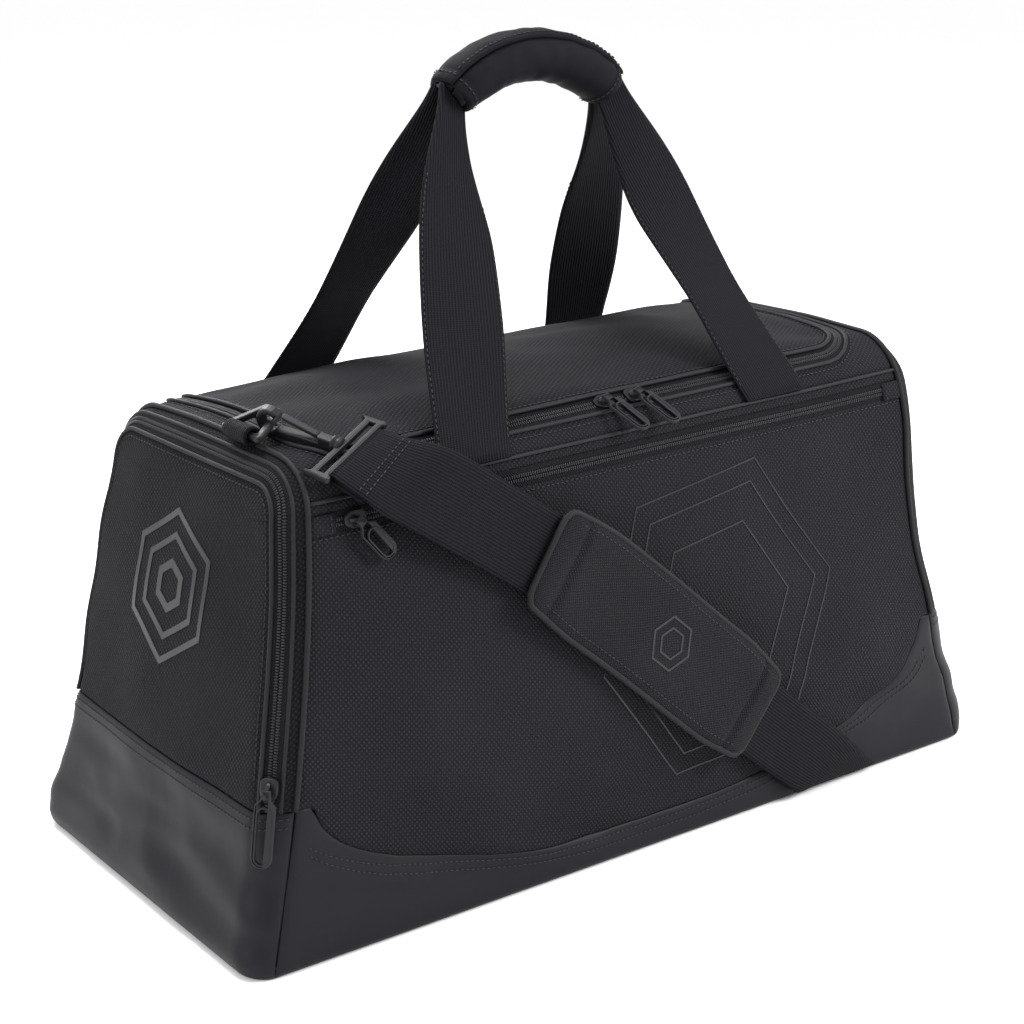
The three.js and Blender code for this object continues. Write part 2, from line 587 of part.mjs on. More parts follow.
// The grip's sleeve, in two halves that meet on a slanted line, each round its own handle's core.
const GRIP_SPLIT = THREE.MathUtils.degToRad(45);
const innerWidth = GRIP_HALF_WIDTH - GRIP_FOAM;
const innerHeight = GRIP_HALF_HEIGHT - GRIP_FOAM_OVER;
// Half of an ellipse on one side of the slanted line, kept clear of it by an angle.
function halfOval(upper, width, height, clear) {
  const start = upper ? -GRIP_SPLIT : Math.PI - GRIP_SPLIT;
  return Array.from({ length: 9 }, (_, k) => {
    const turn = start + clear + (Math.PI - 2 * clear) * k / 8;
    return [width * Math.cos(turn), height * Math.sin(turn)];
  });
}
const halfSleeve = (upper) => [
  ...halfOval(upper, GRIP_HALF_WIDTH, GRIP_HALF_HEIGHT, 0.03),
  ...halfOval(upper, innerWidth, innerHeight, 0.05).reverse(),
];
const halfCore = (upper) => halfOval(
  upper, innerWidth - CORE_CLEARANCE, innerHeight - CORE_CLEARANCE, 0.08,
);
const neoprene = { color: 0x29292c, roughness: 0.85, metalness: 0 };
add('grip_wrap_lower', loft(gripStations(gripEnd, 10), halfSleeve(false)), neoprene);
add('grip_wrap_flap', loft(gripStations(gripEnd, 10), halfSleeve(true)), neoprene);
add('front_handle_core', loft(gripStations(gripEnd * 0.985, 10), halfCore(false)), webbing);
add('rear_handle_core', loft(gripStations(gripEnd * 0.985, 10), halfCore(true)), webbing);

// ---- shoulder strap ----
add('shoulder_strap', loft(strapStations, webbingSection), webbing);
const padStations = strapStations.filter(({ p }) => p.x > PAD_FROM_X && p.x < PAD_TO_X && p.z > 20);
const padMiddle = WEBBING_THICKNESS / 2 + GAP + PAD_THICKNESS / 2;
padStations.forEach((station, k) => {
  const fromEnd = Math.min(k, padStations.length - 1 - k);
  station.wide *= Math.min(1, 0.82 + 0.09 * fromEnd);
});
add('shoulder_pad', loft(padStations, rectangle(PAD_WIDTH, PAD_THICKNESS, padMiddle)), woven);

// ---- rings, tabs and snap hooks at both ends of the strap ----
function outlineWith(points, hole) {
  const shape = new THREE.Shape(points.map(([x, y]) => new THREE.Vector2(x, y)));
  if (hole) shape.holes.push(new THREE.Path(hole.map(([x, y]) => new THREE.Vector2(x, y))));
  return shape;
}
function flatPlate(shape, thickness) {
  return new THREE.ExtrudeGeometry(shape, { depth: thickness, bevelEnabled: false, curveSegments: 6 })
    .translate(0, 0, -thickness / 2);
}
// A webbing loop round the ring's straight side, with a tail sewn into the seam.
function ringTab(width) {
  const loop = new THREE.Shape().absarc(0, 0, 5.4, 0, 2 * Math.PI, false);
  loop.holes.push(new THREE.Path().absarc(0, 0, 3.4, 0, 2 * Math.PI, true));
  const across = new THREE.ExtrudeGeometry(loop, { depth: width, bevelEnabled: false, curveSegments: 10 });
  return across.translate(0, 0, -width / 2).rotateX(Math.PI / 2);
}
const ringShape = outlineWith(
  [[-2, -20], [2, -20], [24, -8], [24, 8], [2, 20], [-2, 20]],
  [[2, -15], [20, -5.5], [20, 5.5], [2, 15]],
);
// The hook's body lies along +x from the middle of its bend; the gate closes its open side.
const HOOK_REACH = 40;
const hookShape = new THREE.Shape();
hookShape.moveTo(HOOK_REACH, -3.2).lineTo(HOOK_REACH, 3.2).lineTo(HOOK_REACH - 8, 4.5).lineTo(6, 8.5);
hookShape.absarc(0, 0, 8.6, 0.98, 1.72 * Math.PI, false);
hookShape.lineTo(3.2, -4);
hookShape.absarc(0, 0, 4.8, 1.72 * Math.PI, 0.5, true);
hookShape.lineTo(HOOK_REACH - 9, 0.6).lineTo(HOOK_REACH - 9, -3.2).closePath();
const gateShape = outlineWith([[8, -6.4], [8, -4.4], [HOOK_REACH - 10, -0.9], [HOOK_REACH - 10, -3.4]]);
const BAR_HALF = 7;
const barEnd = FRAME_WIDTH / 2;
const slotEnd = barEnd - 3;
const barFrame = outlineWith(
  [[-BAR_HALF, -barEnd], [BAR_HALF, -barEnd], [BAR_HALF, barEnd], [-BAR_HALF, barEnd]],
  [[-3.5, -slotEnd], [3, -slotEnd], [3, slotEnd], [-3.5, slotEnd]],
);
function strapEnd(name, ringAt, ringDir, ringSide, bendAt, barAt, barSide) {
  const plate = (piece, shape, thickness, at, xAxis, yAxis) => {
    add(`${name}_${piece}`, inFrame(flatPlate(shape, thickness), at, xAxis, yAxis), hardware);
  };
  add(`${name}_ring_tab`, inFrame(ringTab(TAB_WIDTH), ringAt, ringDir, ringSide), webbing);
  plate('ring', ringShape, RING_THICKNESS, ringAt, ringDir, ringSide);
  const hookDir = barAt.clone().sub(bendAt).normalize();
  const flat = square(barSide, hookDir);
  const up = flat.clone().cross(hookDir);
  plate('hook', hookShape, HOOK_THICKNESS, bendAt, hookDir, up);
  plate('hook_gate', gateShape, GATE_THICKNESS, bendAt, hookDir, up);
  const barMiddle = bendAt.clone().addScaledVector(hookDir, HOOK_REACH + GAP + BAR_HALF);
  plate('strap_bar', barFrame, BAR_THICKNESS, barMiddle, hookDir, flat);
}
const leftRing = vec(-226, -38, 279.6);
const leftDir = vec(Math.cos(0.44), 0, Math.sin(0.44));
const leftBend = leftRing.clone().addScaledVector(leftDir, 15).add(vec(0, -9.4, 0));
strapEnd('left', leftRing, leftDir, vec(0, 1, 0), leftBend, vec(-191.3, -88.6, 275.8), vec(0.88, 0.37, 0.3));
const rightRing = vec(245.5, -25, 259);
const rightDir = vec(0.33, 0, -0.944).normalize();
const rightBend = rightRing.clone().addScaledVector(rightDir, 22);
strapEnd('right', rightRing, rightDir, vec(0, -1, 0), rightBend, vec(263, -25.5, 198), vec(0, -1, 0));
// The slide that sets the strap's length, on the stretch up the right end.
const slideStation = strapStations.find(({ p }) => p.x > 250 && p.z > 118);
const slideShape = outlineWith(
  [[-29, -5], [29, -5], [29, 5], [-29, 5]],
  [[-25.8, -2.2], [25.8, -2.2], [25.8, 2.2], [-25.8, 2.2]],
);
const slidePlate = flatPlate(slideShape, SLIDE_LENGTH);
const slideAcross = square(slideStation.across, slideStation.tangent);
add('strap_adjuster', inFrame(slidePlate, slideStation.p, slideAcross, slideStation.out), hardware);

export default bag;
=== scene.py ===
# A soft sports holdall, finished round its fixed frame. Metres, +Z up, the front faces -Y.
import json
import math

import bpy
from mathutils import Matrix, Vector, noise

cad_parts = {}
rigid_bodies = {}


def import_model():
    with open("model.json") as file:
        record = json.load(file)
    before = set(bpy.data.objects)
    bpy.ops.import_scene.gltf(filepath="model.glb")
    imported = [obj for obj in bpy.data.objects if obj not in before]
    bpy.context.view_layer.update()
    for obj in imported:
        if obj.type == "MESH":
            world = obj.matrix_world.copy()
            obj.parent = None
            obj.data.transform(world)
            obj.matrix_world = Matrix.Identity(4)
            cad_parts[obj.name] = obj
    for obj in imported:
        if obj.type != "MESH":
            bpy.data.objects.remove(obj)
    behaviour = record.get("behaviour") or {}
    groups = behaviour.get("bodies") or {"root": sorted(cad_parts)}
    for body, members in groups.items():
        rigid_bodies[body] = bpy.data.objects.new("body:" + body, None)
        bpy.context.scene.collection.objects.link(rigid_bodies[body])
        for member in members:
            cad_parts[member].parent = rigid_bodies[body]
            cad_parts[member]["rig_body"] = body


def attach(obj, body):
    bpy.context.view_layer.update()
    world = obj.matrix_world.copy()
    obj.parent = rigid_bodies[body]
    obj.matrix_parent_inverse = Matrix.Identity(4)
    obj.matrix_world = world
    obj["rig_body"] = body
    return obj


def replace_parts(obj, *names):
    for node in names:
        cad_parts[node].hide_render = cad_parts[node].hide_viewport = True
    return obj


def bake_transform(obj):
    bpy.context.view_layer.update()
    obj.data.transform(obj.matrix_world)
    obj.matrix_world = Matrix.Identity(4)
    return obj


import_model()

bl_info = {
    "name": "Sports holdall",
    "version": (1, 0, 0),
    "blender": (4, 5, 0),
    "location": "View3D > Sidebar > Holdall",
    "description": "Builds a sewn sports holdall with zips, handles and a shoulder strap",
    "category": "Add Mesh",
}

# ---- sizes, in metres ----
TOP_HALF_LENGTH = 0.236
BASE_FLARE = 0.052
BASE_HALF_DEPTH = 0.135
SHOULDER_HALF_DEPTH = 0.103
SHOULDER_Z = 0.245
SHOULDER_RADIUS = 0.030
RISE = 0.05
DOME = 0.014
BULGE = 0.008
CORNER = 0.018            # the rounded corners between the ends and the sides
SEAM_SHIFT = 0.014        # the corner seam lies this far in from the end, on the side
END_ZIP_T = 0.0015        # the end zip's middle, past the middle of the corner
FOOT_RADIUS = 0.005       # the band's turn under the base
BAND_CORNER_Z = 0.090
BAND_MIDDLE_Z = 0.020
SEAM_Z = 0.252
POCKET_ZIP_Z = 0.240
ZIP_HALF = 0.0045         # half of the coil with its visible tape
STITCH_SIZE = (0.0027, 0.0008, 0.0007)  # length, width and height of one stitch
COIL_SIZE = (0.0030, 0.00125, 0.0011)   # the same of one turn of a zip coil
POCKET_ZIP_REACH = 0.2115  # half of the pocket zip's length
BAND_STITCH_DROPS = (0.0035, 0.0085)    # the two stitch rows below the band's edge
LID_HALF_LENGTH = 0.205
LID_FRONT_Y = -0.088
LID_HINGE_Y = 0.080
LID_CORNER = 0.034
HANDLE_X = 0.116
WEBBING = 0.050
GRIP_HALF_SPAN = 0.058
GRIP_RADIUS = 0.090
GRIP_TOP_Z = 0.469
PANEL = 0.0022
STRAP_ROUTE = [
    (-187.7, -95.8, 274, 0.88, 0.37, 0.3),
    (-176, -110, 265.5, 0.82, 0.3, 0.46),
    (-160, -117, 256, 0.73, 0.12, 0.66),
    (-140, -118.5, 243, 0.66, 0.05, 0.75),
    (-105, -119.5, 219, 0.64, 0.08, 0.77),
    (-75, -122, 197.5, 0.65, 0.1, 0.76),
    (-20, -128.5, 152, 0.65, 0.1, 0.76),
    (25, -134, 112, 0.65, 0.08, 0.76),
    (70, -138.5, 73, 0.64, 0.05, 0.77),
    (100, -140.5, 48, 0.64, 0, 0.77),
    (125, -141.5, 28, 0.8, 0, 0.6),
    (142, -140.5, 13, 0.97, 0, 0.24),
    (151, -137, 5.5, 1, 0, 0),
    (159, -130.5, 2, 1, 0, 0),
    (170, -121.5, 1.6, 0.97, -0.24, 0),
    (190, -107, 1.6, 0.75, -0.66, 0),
    (225, -90, 1.6, 0.45, -0.9, 0),
    (255, -81, 1.6, 0.2, -0.98, 0),
    (278, -75, 1.6, 0, -1, 0),
    (291, -72, 2, 0, -1, 0),
    (299, -70, 7, 0, -1, 0),
    (301, -67, 17, 0, -0.98, 0.2),
    (296, -60, 42, 0.05, -0.96, 0.27),
    (286, -50, 80, 0.05, -0.96, 0.27),
    (277, -40, 125, 0.05, -0.97, 0.24),
    (271, -31, 160, 0.03, -0.99, 0.15),
    (267.5, -27, 183, 0, -1, 0),
]
MM = 0.001
INK = 0.0003               # how far a printed mark stands off the cloth


def linear(text):
    """An sRGB hex colour as linear red, green and blue."""
    parts = [int(text[k:k + 2], 16) / 255 for k in (1, 3, 5)]
    return tuple(c / 12.92 if c <= 0.04045 else ((c + 0.055) / 1.055) ** 2.4 for c in parts)


def settings():
    return bpy.context.scene.holdall


def smooth(low, high, x):
    t = min(1.0, max(0.0, (x - low) / (high - low)))
    return t * t * (3 - 2 * t)


# ---- the bag's outer surface ----
LEAN = math.atan((BASE_HALF_DEPTH - SHOULDER_HALF_DEPTH) / SHOULDER_Z)
TOP_Z = SHOULDER_Z + SHOULDER_RADIUS * (1 - math.sin(LEAN))
TURN_Y = SHOULDER_HALF_DEPTH - SHOULDER_RADIUS * math.cos(LEAN)
TURN_Z = SHOULDER_Z - SHOULDER_RADIUS * math.sin(LEAN)
SIDE_LENGTH = SHOULDER_Z / math.cos(LEAN)
SHOULDER_LENGTH = SHOULDER_RADIUS * (math.pi / 2 - LEAN)
HALF_SECTION = SIDE_LENGTH + SHOULDER_LENGTH + TURN_Y


def half_length(z):
    return TOP_HALF_LENGTH + BASE_FLARE * max(0.0, 1 - z / TOP_Z) ** 1.5


def lift(x):
    return 1 + RISE * (x + TOP_HALF_LENGTH) / (2 * TOP_HALF_LENGTH)


def half_depth(z, inset=0.0):
    """Half the depth at height z of the section's outline moved in by inset."""
    radius = SHOULDER_RADIUS - inset
    if z > TURN_Z + radius * math.sin(LEAN):
        return TURN_Y + math.sqrt(max(0.0, radius ** 2 - (z - TURN_Z) ** 2))
    return BASE_HALF_DEPTH - (BASE_HALF_DEPTH - SHOULDER_HALF_DEPTH) * z / SHOULDER_Z - inset


def section(u):
    """The point u along the outline from the foot of the front, and the way out there."""
    if u > HALF_SECTION:
        y, z, ny, nz = section(2 * HALF_SECTION - u)
        return -y, z, -ny, nz
    if u <= SIDE_LENGTH:
        z = u * math.cos(LEAN)
        return -half_depth(z), z, -1.0, 0.0
    if u <= SIDE_LENGTH + SHOULDER_LENGTH:
        turn = LEAN + (u - SIDE_LENGTH) / SHOULDER_RADIUS
        face = (turn - LEAN) / (math.pi / 2 - LEAN) * math.pi / 2
        y = -TURN_Y - SHOULDER_RADIUS * math.cos(turn)
        return y, TURN_Z + SHOULDER_RADIUS * math.sin(turn), -math.cos(face), math.sin(face)
    return -TURN_Y + u - SIDE_LENGTH - SHOULDER_LENGTH, TOP_Z, 0.0, 1.0


def length_at_height(z):
    if z <= SHOULDER_Z:
        return z / math.cos(LEAN)
    return SIDE_LENGTH + SHOULDER_RADIUS * (math.asin((z - TURN_Z) / SHOULDER_RADIUS) - LEAN)


def length_at_depth(y):
    if y > 0:
        return 2 * HALF_SECTION - length_at_depth(-y)
    if y >= -TURN_Y:
        return HALF_SECTION + y
    turn = math.acos(min(1.0, (-y - TURN_Y) / SHOULDER_RADIUS))
    return SIDE_LENGTH + SHOULDER_RADIUS * (turn - LEAN)


def rounding(beyond, radius):
    """How far a surface draws back where it is this far past the start of a rounded edge."""
    if beyond <= 0:
        return 0.0
    return radius - math.sqrt(max(0.0, radius ** 2 - min(beyond, radius) ** 2))


def soften(p):
    """The slack of filled cloth: broad swells and dents, and loose folds in the foot band."""
    x, y, z = p
    away = Vector((x * 0.35, y, (z - 0.12) * 0.4))
    away.normalize()
    settle = smooth(0.0, 0.03, z) * (1 - 0.6 * smooth(0.24, 0.28, z))
    broad = noise.noise(Vector((x * 8 + 3, y * 8, z * 10))) * 0.0046
    fine = noise.noise(Vector((x * 20 + z * 9, y * 20 + 7, z * 18))) * 0.0022
    low = smooth(0.11, 0.03, z)
    folds = low * (noise.noise(Vector((x * 16 + z * 34, y * 16, z * 44 + x * 9))) * 0.0038 - 0.0006)
    crease = low * abs(noise.noise(Vector((x * 30 - z * 50, y * 30, z * 24)))) * -0.0012
    return p + away * ((broad + fine + folds + crease) * settle)


def dome(x, y, z):
    """How far the filled lid swells over the top."""
    if z <= SHOULDER_Z:
        return 0.0
    across = max(0.0, 1 - (y / LID_FRONT_Y) ** 2)
    return DOME * across * max(0.0, 1 - (x / TOP_HALF_LENGTH) ** 4)


def side_swell(x, z):
    """How far the front and rear swell between their seams."""
    if z >= SHOULDER_Z:
        return 0.0
    s = min(1.0, abs(x) / half_length(z))
    return BULGE * (1 - s * s) * math.sin(math.pi * z / SHOULDER_Z)


def end_puff(y, z):
    """How far an end swells."""
    full = 0.0045 * smooth(0.0, 0.012, z) * (1 - smooth(0.24, 0.272, z))
    return full + 0.005 * math.sin(math.pi * min(1.0, z / TOP_Z)) * max(0.0, 1 - (y / half_depth(z)) ** 2)


def skin(x, u, out=0.0):
    """A point on the front, top or rear, at x and at length u round the section."""
    y, z, ny, nz = section(u)
    back = rounding(abs(x) - (half_length(z) - CORNER), CORNER) + rounding(FOOT_RADIUS - z, FOOT_RADIUS)
    shift = out + side_swell(x, z) - back
    p = Vector((x, y + ny * shift, z + nz * (out - back)))
    p.z = p.z * lift(x) + dome(x, y, z)
    return soften(p)


def inset_of(y, z):
    """How far inside the end's outline a point of the end lies."""
    if z > TURN_Z and abs(y) > TURN_Y:
        return SHOULDER_RADIUS - math.hypot(abs(y) - TURN_Y, z - TURN_Z)
    return min(half_depth(z) - abs(y), TOP_Z - z)


def end(side, y, z, out=0.0):
    """A point on the left (-1) or right (1) end."""
    back = rounding(CORNER - inset_of(y, z), CORNER) + rounding(FOOT_RADIUS - z, FOOT_RADIUS)
    x = side * (half_length(z) + out + end_puff(y, z) - back)
    return soften(Vector((x, y, z * lift(x) + dome(x, y, z))))


def wrap(side, u, t, out=0.0):
    """A point of the rounded corner: t runs over it, from the side (below 0) to the end."""
    y, z, ny, nz = section(u)
    turn = min(math.pi / 2, max(0.0, math.pi / 4 - t / CORNER))
    inward = CORNER * (1 - math.sin(turn))
    x = half_length(z - nz * inward) - CORNER * (1 - math.cos(turn))
    low = rounding(FOOT_RADIUS - z, FOOT_RADIUS)
    face = math.sin(turn) * (out + side_swell(x, z) - low)
    y, z = y - ny * (inward - face), z - nz * (inward - math.sin(turn) * out)
    x = side * (x + math.cos(turn) * (out + end_puff(y, z) - low))
    return soften(Vector((x, y, z * lift(x) + dome(x, y, z))))


def wrap_out(side, u, t):
    """The way out of the rounded corner at t."""
    _, _, ny, nz = section(u)
    turn = math.pi / 4 - t / CORNER
    return Vector((side * math.cos(turn), ny * math.sin(turn), nz * math.sin(turn)))


def seam_x(z):
    """Where the corner seam runs."""
    return half_length(z) - SEAM_SHIFT


SEAM_T = CORNER * (math.acos(1 - SEAM_SHIFT / CORNER) - math.pi / 4)
CORNER_T = CORNER * math.pi / 4
FLAP_T = END_ZIP_T + ZIP_HALF + 0.0006
FLAP_INSET = CORNER * (1 - math.sin(math.pi / 4 - FLAP_T / CORNER))


def end_reach(z):
    """Half the end's width at height z, measured over both corners to their seams."""
    return half_depth(z) - CORNER + CORNER_T + SEAM_T


def across_end(side, w, z, out=0.0):
    """A point of an end and its corners, w along the cloth from the middle."""
    beyond = abs(w) - (half_depth(z) - CORNER)
    if beyond <= 0:
        return end(side, w, z, out)
    return wrap(side, mirrored(length_at_height(z), w > 0), CORNER_T - beyond, out)


def mirrored(u, rear):
    return 2 * HALF_SECTION - u if rear else u


def round_arch(place, steps=96):
    """Points over the end's outline, from the top of the foot band on the front to the rear's."""
    start = length_at_height(BAND_CORNER_Z + 0.0006)
    return [place(start + (2 * HALF_SECTION - 2 * start) * k / steps) for k in range(steps + 1)]


# ---- mesh building ----
def outline_steps(count, length, edge=(0.0008, 0.0022, 0.0045)):
    """Even steps from 0 to 1 with closer ones beside both ends, for the dip at a seam."""
    near = [e / length for e in edge if e / length < 0.2]
    middle = [k / count for k in range(count + 1)]
    last = near[-1] if near else 0
    kept = [t for t in middle if last * 1.4 < t < 1 - last * 1.4]
    return [0.0, *near, *kept, *[1 - n for n in reversed(near)], 1.0]


def new_piece(name, vertices, faces, material, body, uvs=None):
    mesh = bpy.data.meshes.new(name)
    mesh.from_pydata([tuple(v) for v in vertices], [], faces)
    mesh.materials.append(material)
    if uvs:
        layer = mesh.uv_layers.new(name="cloth")
        for loop in mesh.loops:
            layer.data[loop.index].uv = uvs[loop.vertex_index]
    mesh.polygons.foreach_set("use_smooth", [True] * len(mesh.polygons))
    piece = bpy.data.objects.new(name, mesh)
    bpy.context.scene.collection.objects.link(piece)
    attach(piece, body)
    return piece


def normal_of(vertices, face):
    a, b, c = (vertices[k] for k in face[:3])
    return (b - a).cross(c - a)


def facing(vertices, faces, way):
    """Turn the faces over if they look away from the given direction."""
    total = Vector()
    for face in faces:
        total += normal_of(vertices, face)
    return [tuple(reversed(f)) for f in faces] if total.dot(Vector(way)) < 0 else faces


def cloth_panel(name, rows, uvs, material, body, way, thickness=PANEL):
    """A sewn panel: a grid of points for its face, with a thickness behind it."""
    columns = len(rows[0])
    vertices = [p for row in rows for p in row]
    faces = []
    for j in range(len(rows) - 1):
        for i in range(columns - 1):
            a = j * columns + i
            faces.append((a, a + 1, a + 1 + columns, a + columns))
    faces = facing(vertices, faces, way)
    piece = new_piece(name, vertices, faces, material, body, [uv for row in uvs for uv in row])
    wall = piece.modifiers.new("thickness", "SOLIDIFY")
    wall.thickness = thickness
    wall.offset = -1
    return piece


def dip(a, b, width, height, depth=0.0011):
    """How far the cloth dips where it is sewn, at (a, b) of a panel this wide and high."""
    near = min(a * width, (1 - a) * width, b * height, (1 - b) * height)
    return -depth * math.exp(-near / 0.0016)


def stretched(name, lower, upper, place, material, body, way, size, counts, thickness=PANEL):
    """A panel between two edges; place(u, v, dip) gives the points, lower and upper run over a."""
    width, height = size
    rows, uvs = [], []
    for b in outline_steps(counts[1], height):
        row, cloth = [], []
        for a in outline_steps(counts[0], width):
            low, high = lower(a), upper(a)
            c = tuple(low[k] + (high[k] - low[k]) * b for k in (0, 1))
            row.append(place(c[0], c[1], dip(a, b, width, height)))
            cloth.append(c)
        rows.append(row)
        uvs.append(cloth)
    return cloth_panel(name, rows, uvs, material, body, way, thickness)


def sweep(name, stations, outline, material, body, closed_ends=True):
    """An outline of (across, out) points carried along stations of (point, across, out)."""
    vertices, faces, uvs = [], [], []
    count = len(outline)
    run = 0.0
    girth = [0.0]
    for k in range(1, count):
        girth.append(girth[-1] + math.dist(outline[k], outline[k - 1]))
    for k, (p, across, out, *scale) in enumerate(stations):
        wide, thick = scale if scale else (1.0, 1.0)
        if k:
            run += (p - stations[k - 1][0]).length
        for i, (a, b) in enumerate(outline):
            vertices.append(p + across * (a * wide) + out * (b * thick))
            uvs.append((a * wide, run))
    for k in range(len(stations) - 1):
        for i in range(count):
            a = k * count + i
            b = k * count + (i + 1) % count
            faces.append((a, b, b + count, a + count))
    if closed_ends:
        faces.append(tuple(reversed(range(count))))
        faces.append(tuple(range(len(vertices) - count, len(vertices))))
    centre = sum(vertices[:count], Vector()) / count
    first = normal_of(vertices, faces[0])
    if first.dot(vertices[0] - centre) < 0:
        faces = [tuple(reversed(f)) for f in faces]
    return new_piece(name, vertices, faces, material, body, uvs)


def flat_outline(width, thickness, columns=10, cup=0.0):
    """A webbing's cross-section: flat faces, rounded edges and a slight cup."""
    half, t = width / 2, thickness / 2
    top, bottom = [], []
    for k in range(columns + 1):
        a = -half + width * k / columns
        edge = min(1.0, (half - abs(a)) / t) if t else 1
        h = t * math.sqrt(max(0.06, 1 - (1 - edge) ** 2))
        bend = cup * (a / half) ** 2
        top.append((a, h + bend))
        bottom.append((a, -h + bend))
    return bottom + list(reversed(top))


def ring_outline(radius, sides=10):
    return [(radius * math.cos(2 * math.pi * k / sides), radius * math.sin(2 * math.pi * k / sides))
            for k in range(sides)]


def run_of(points, up):
    """Stations along a list of points; up(k) is the way out there."""
    stations = []
    for k, p in enumerate(points):
        tangent = (points[min(k + 1, len(points) - 1)] - points[max(k - 1, 0)]).normalized()
        out = up(k) if callable(up) else Vector(up)
        across = tangent.cross(out).normalized()
        stations.append((p, across, across.cross(tangent).normalized()))
    return stations


def even_points(points, pitch):
    """Points this far apart along a line of points, each with the way the line runs there."""
    result, carried = [], pitch / 2
    for a, b in zip(points, points[1:]):
        step = (b[0] - a[0]).length
        along = carried
        while along <= step:
            t = along / step
            result.append((a[0].lerp(b[0], t), (b[0] - a[0]).normalized(), a[1].lerp(b[1], t).normalized()))
            along += pitch
        carried = along - step
    return result


# ---- stitches and zip teeth: points gathered here, made by one node tree ----
REPEATS = {}


def gather(kind, body, items):
    REPEATS.setdefault((kind, body), []).extend(items)


def stitch_row(body, points, kind="stitch"):
    """A row of stitches along a list of (point, way out)."""
    gather(kind, body, even_points(points, settings().stitch_pitch))


# ---- materials ----
def add_node(tree, kind, inputs=None, **values):
    node = tree.nodes.new(kind)
    for key, value in values.items():
        setattr(node, key, value)
    for key, value in (inputs or {}).items():
        if isinstance(value, bpy.types.NodeSocket):
            tree.links.new(value, node.inputs[key])
        else:
            node.inputs[key].default_value = value
    return node


def shader(name, roughness, specular=0.5, metallic=0.0):
    material = bpy.data.materials.new(name)
    material.use_nodes = True
    tree = material.node_tree
    surface = tree.nodes["Principled BSDF"]
    surface.inputs["Roughness"].default_value = roughness
    surface.inputs["Specular IOR Level"].default_value = specular
    surface.inputs["Metallic"].default_value = metallic
    return material, tree, surface


def waves(tree, vector, mm, angle=0.0):
    """Parallel ribs this many millimetres apart, from 0 to 1."""
    parts = add_node(tree, "ShaderNodeSeparateXYZ", {0: vector}).outputs
    turn = 2 * math.pi / (mm * MM)
    x = add_node(tree, "ShaderNodeMath", {0: parts[0], 1: math.cos(angle) * turn}, operation="MULTIPLY")
    both = add_node(tree, "ShaderNodeMath", {0: parts[1], 1: math.sin(angle) * turn, 2: x.outputs[0]},
                    operation="MULTIPLY_ADD")
    wave = add_node(tree, "ShaderNodeMath", {0: both.outputs[0]}, operation="SINE")
    return scaled_sum(tree, wave.outputs[0], 0.5, 0.5)


def times(tree, a, b, operation="MULTIPLY"):
    return add_node(tree, "ShaderNodeMath", {0: a, 1: b}, operation=operation).outputs[0]


def two_tone(tree, factor, dark, light):
    mix = add_node(tree, "ShaderNodeMix", {0: factor, 6: (*dark, 1), 7: (*light, 1)}, data_type="RGBA")
    return mix.outputs[2]


def bump(tree, surface, height, distance, strength=1.0):
    made = add_node(tree, "ShaderNodeBump", {"Height": height, "Distance": distance, "Strength": strength})
    tree.links.new(made.outputs[0], surface.inputs["Normal"])


def shade(colour, amount):
    return tuple(max(0.0, min(1.0, c * amount)) for c in colour)


def scaled_sum(tree, value, factor, added):
    """value times factor, plus added."""
    return add_node(tree, "ShaderNodeMath", {0: value, 1: factor, 2: added},
                    operation="MULTIPLY_ADD").outputs[0]


def tones(tree, surface, factor, colour, low, high):
    """The base colour runs between two shades of the piece's colour."""
    blend = two_tone(tree, factor, shade(colour, low), shade(colour, high))
    tree.links.new(blend, surface.inputs["Base Color"])


def woven_polyester(name, colour, mm=2.1):
    """Heavy woven polyester: a slanting twill of dark threads, matte, with a faint bloom.
    The real threads are 0.6 mm apart; they are drawn coarser so that the weave shows."""
    material, tree, surface = shader(name, 0.8, 0.10)
    cloth = add_node(tree, "ShaderNodeUVMap", uv_map="cloth").outputs[0]
    weave = times(tree, waves(tree, cloth, mm, math.radians(35)),
                  waves(tree, cloth, mm * 1.15, math.radians(125)))
    place = add_node(tree, "ShaderNodeTexCoord").outputs["Object"]
    cloud = add_node(tree, "ShaderNodeTexNoise", {"Vector": place, "Scale": 14.0, "Detail": 3.0}).outputs[0]
    factor = add_node(tree, "ShaderNodeMath", {0: weave, 1: 0.75, 2: times(tree, cloud, 0.3)},
                      operation="MULTIPLY_ADD")
    tones(tree, surface, factor.outputs[0], colour, 0.25, 2.3)
    bump(tree, surface, weave, 0.0005, 1.0)
    return material


def coated_polyester(name, colour):
    """Polyester with a smooth rubbery coat: a soft broad sheen over small soft creases."""
    material, tree, surface = shader(name, 0.46, 0.13)
    place = add_node(tree, "ShaderNodeTexCoord").outputs["Object"]
    crease = add_node(tree, "ShaderNodeTexNoise",
                      {"Vector": place, "Scale": 20.0, "Detail": 3.0, "Distortion": 0.5}).outputs[0]
    grain = add_node(tree, "ShaderNodeTexNoise",
                     {"Vector": place, "Scale": 1400.0, "Detail": 1.0}).outputs[0]
    height = scaled_sum(tree, grain, 0.06, crease)
    tones(tree, surface, crease, colour, 0.85, 1.12)
    rough = add_node(tree, "ShaderNodeMapRange",
                     {"Value": crease, "To Min": 0.46, "To Max": 0.56}).outputs[0]
    tree.links.new(rough, surface.inputs["Roughness"])
    bump(tree, surface, height, 0.0012, 0.4)
    return material


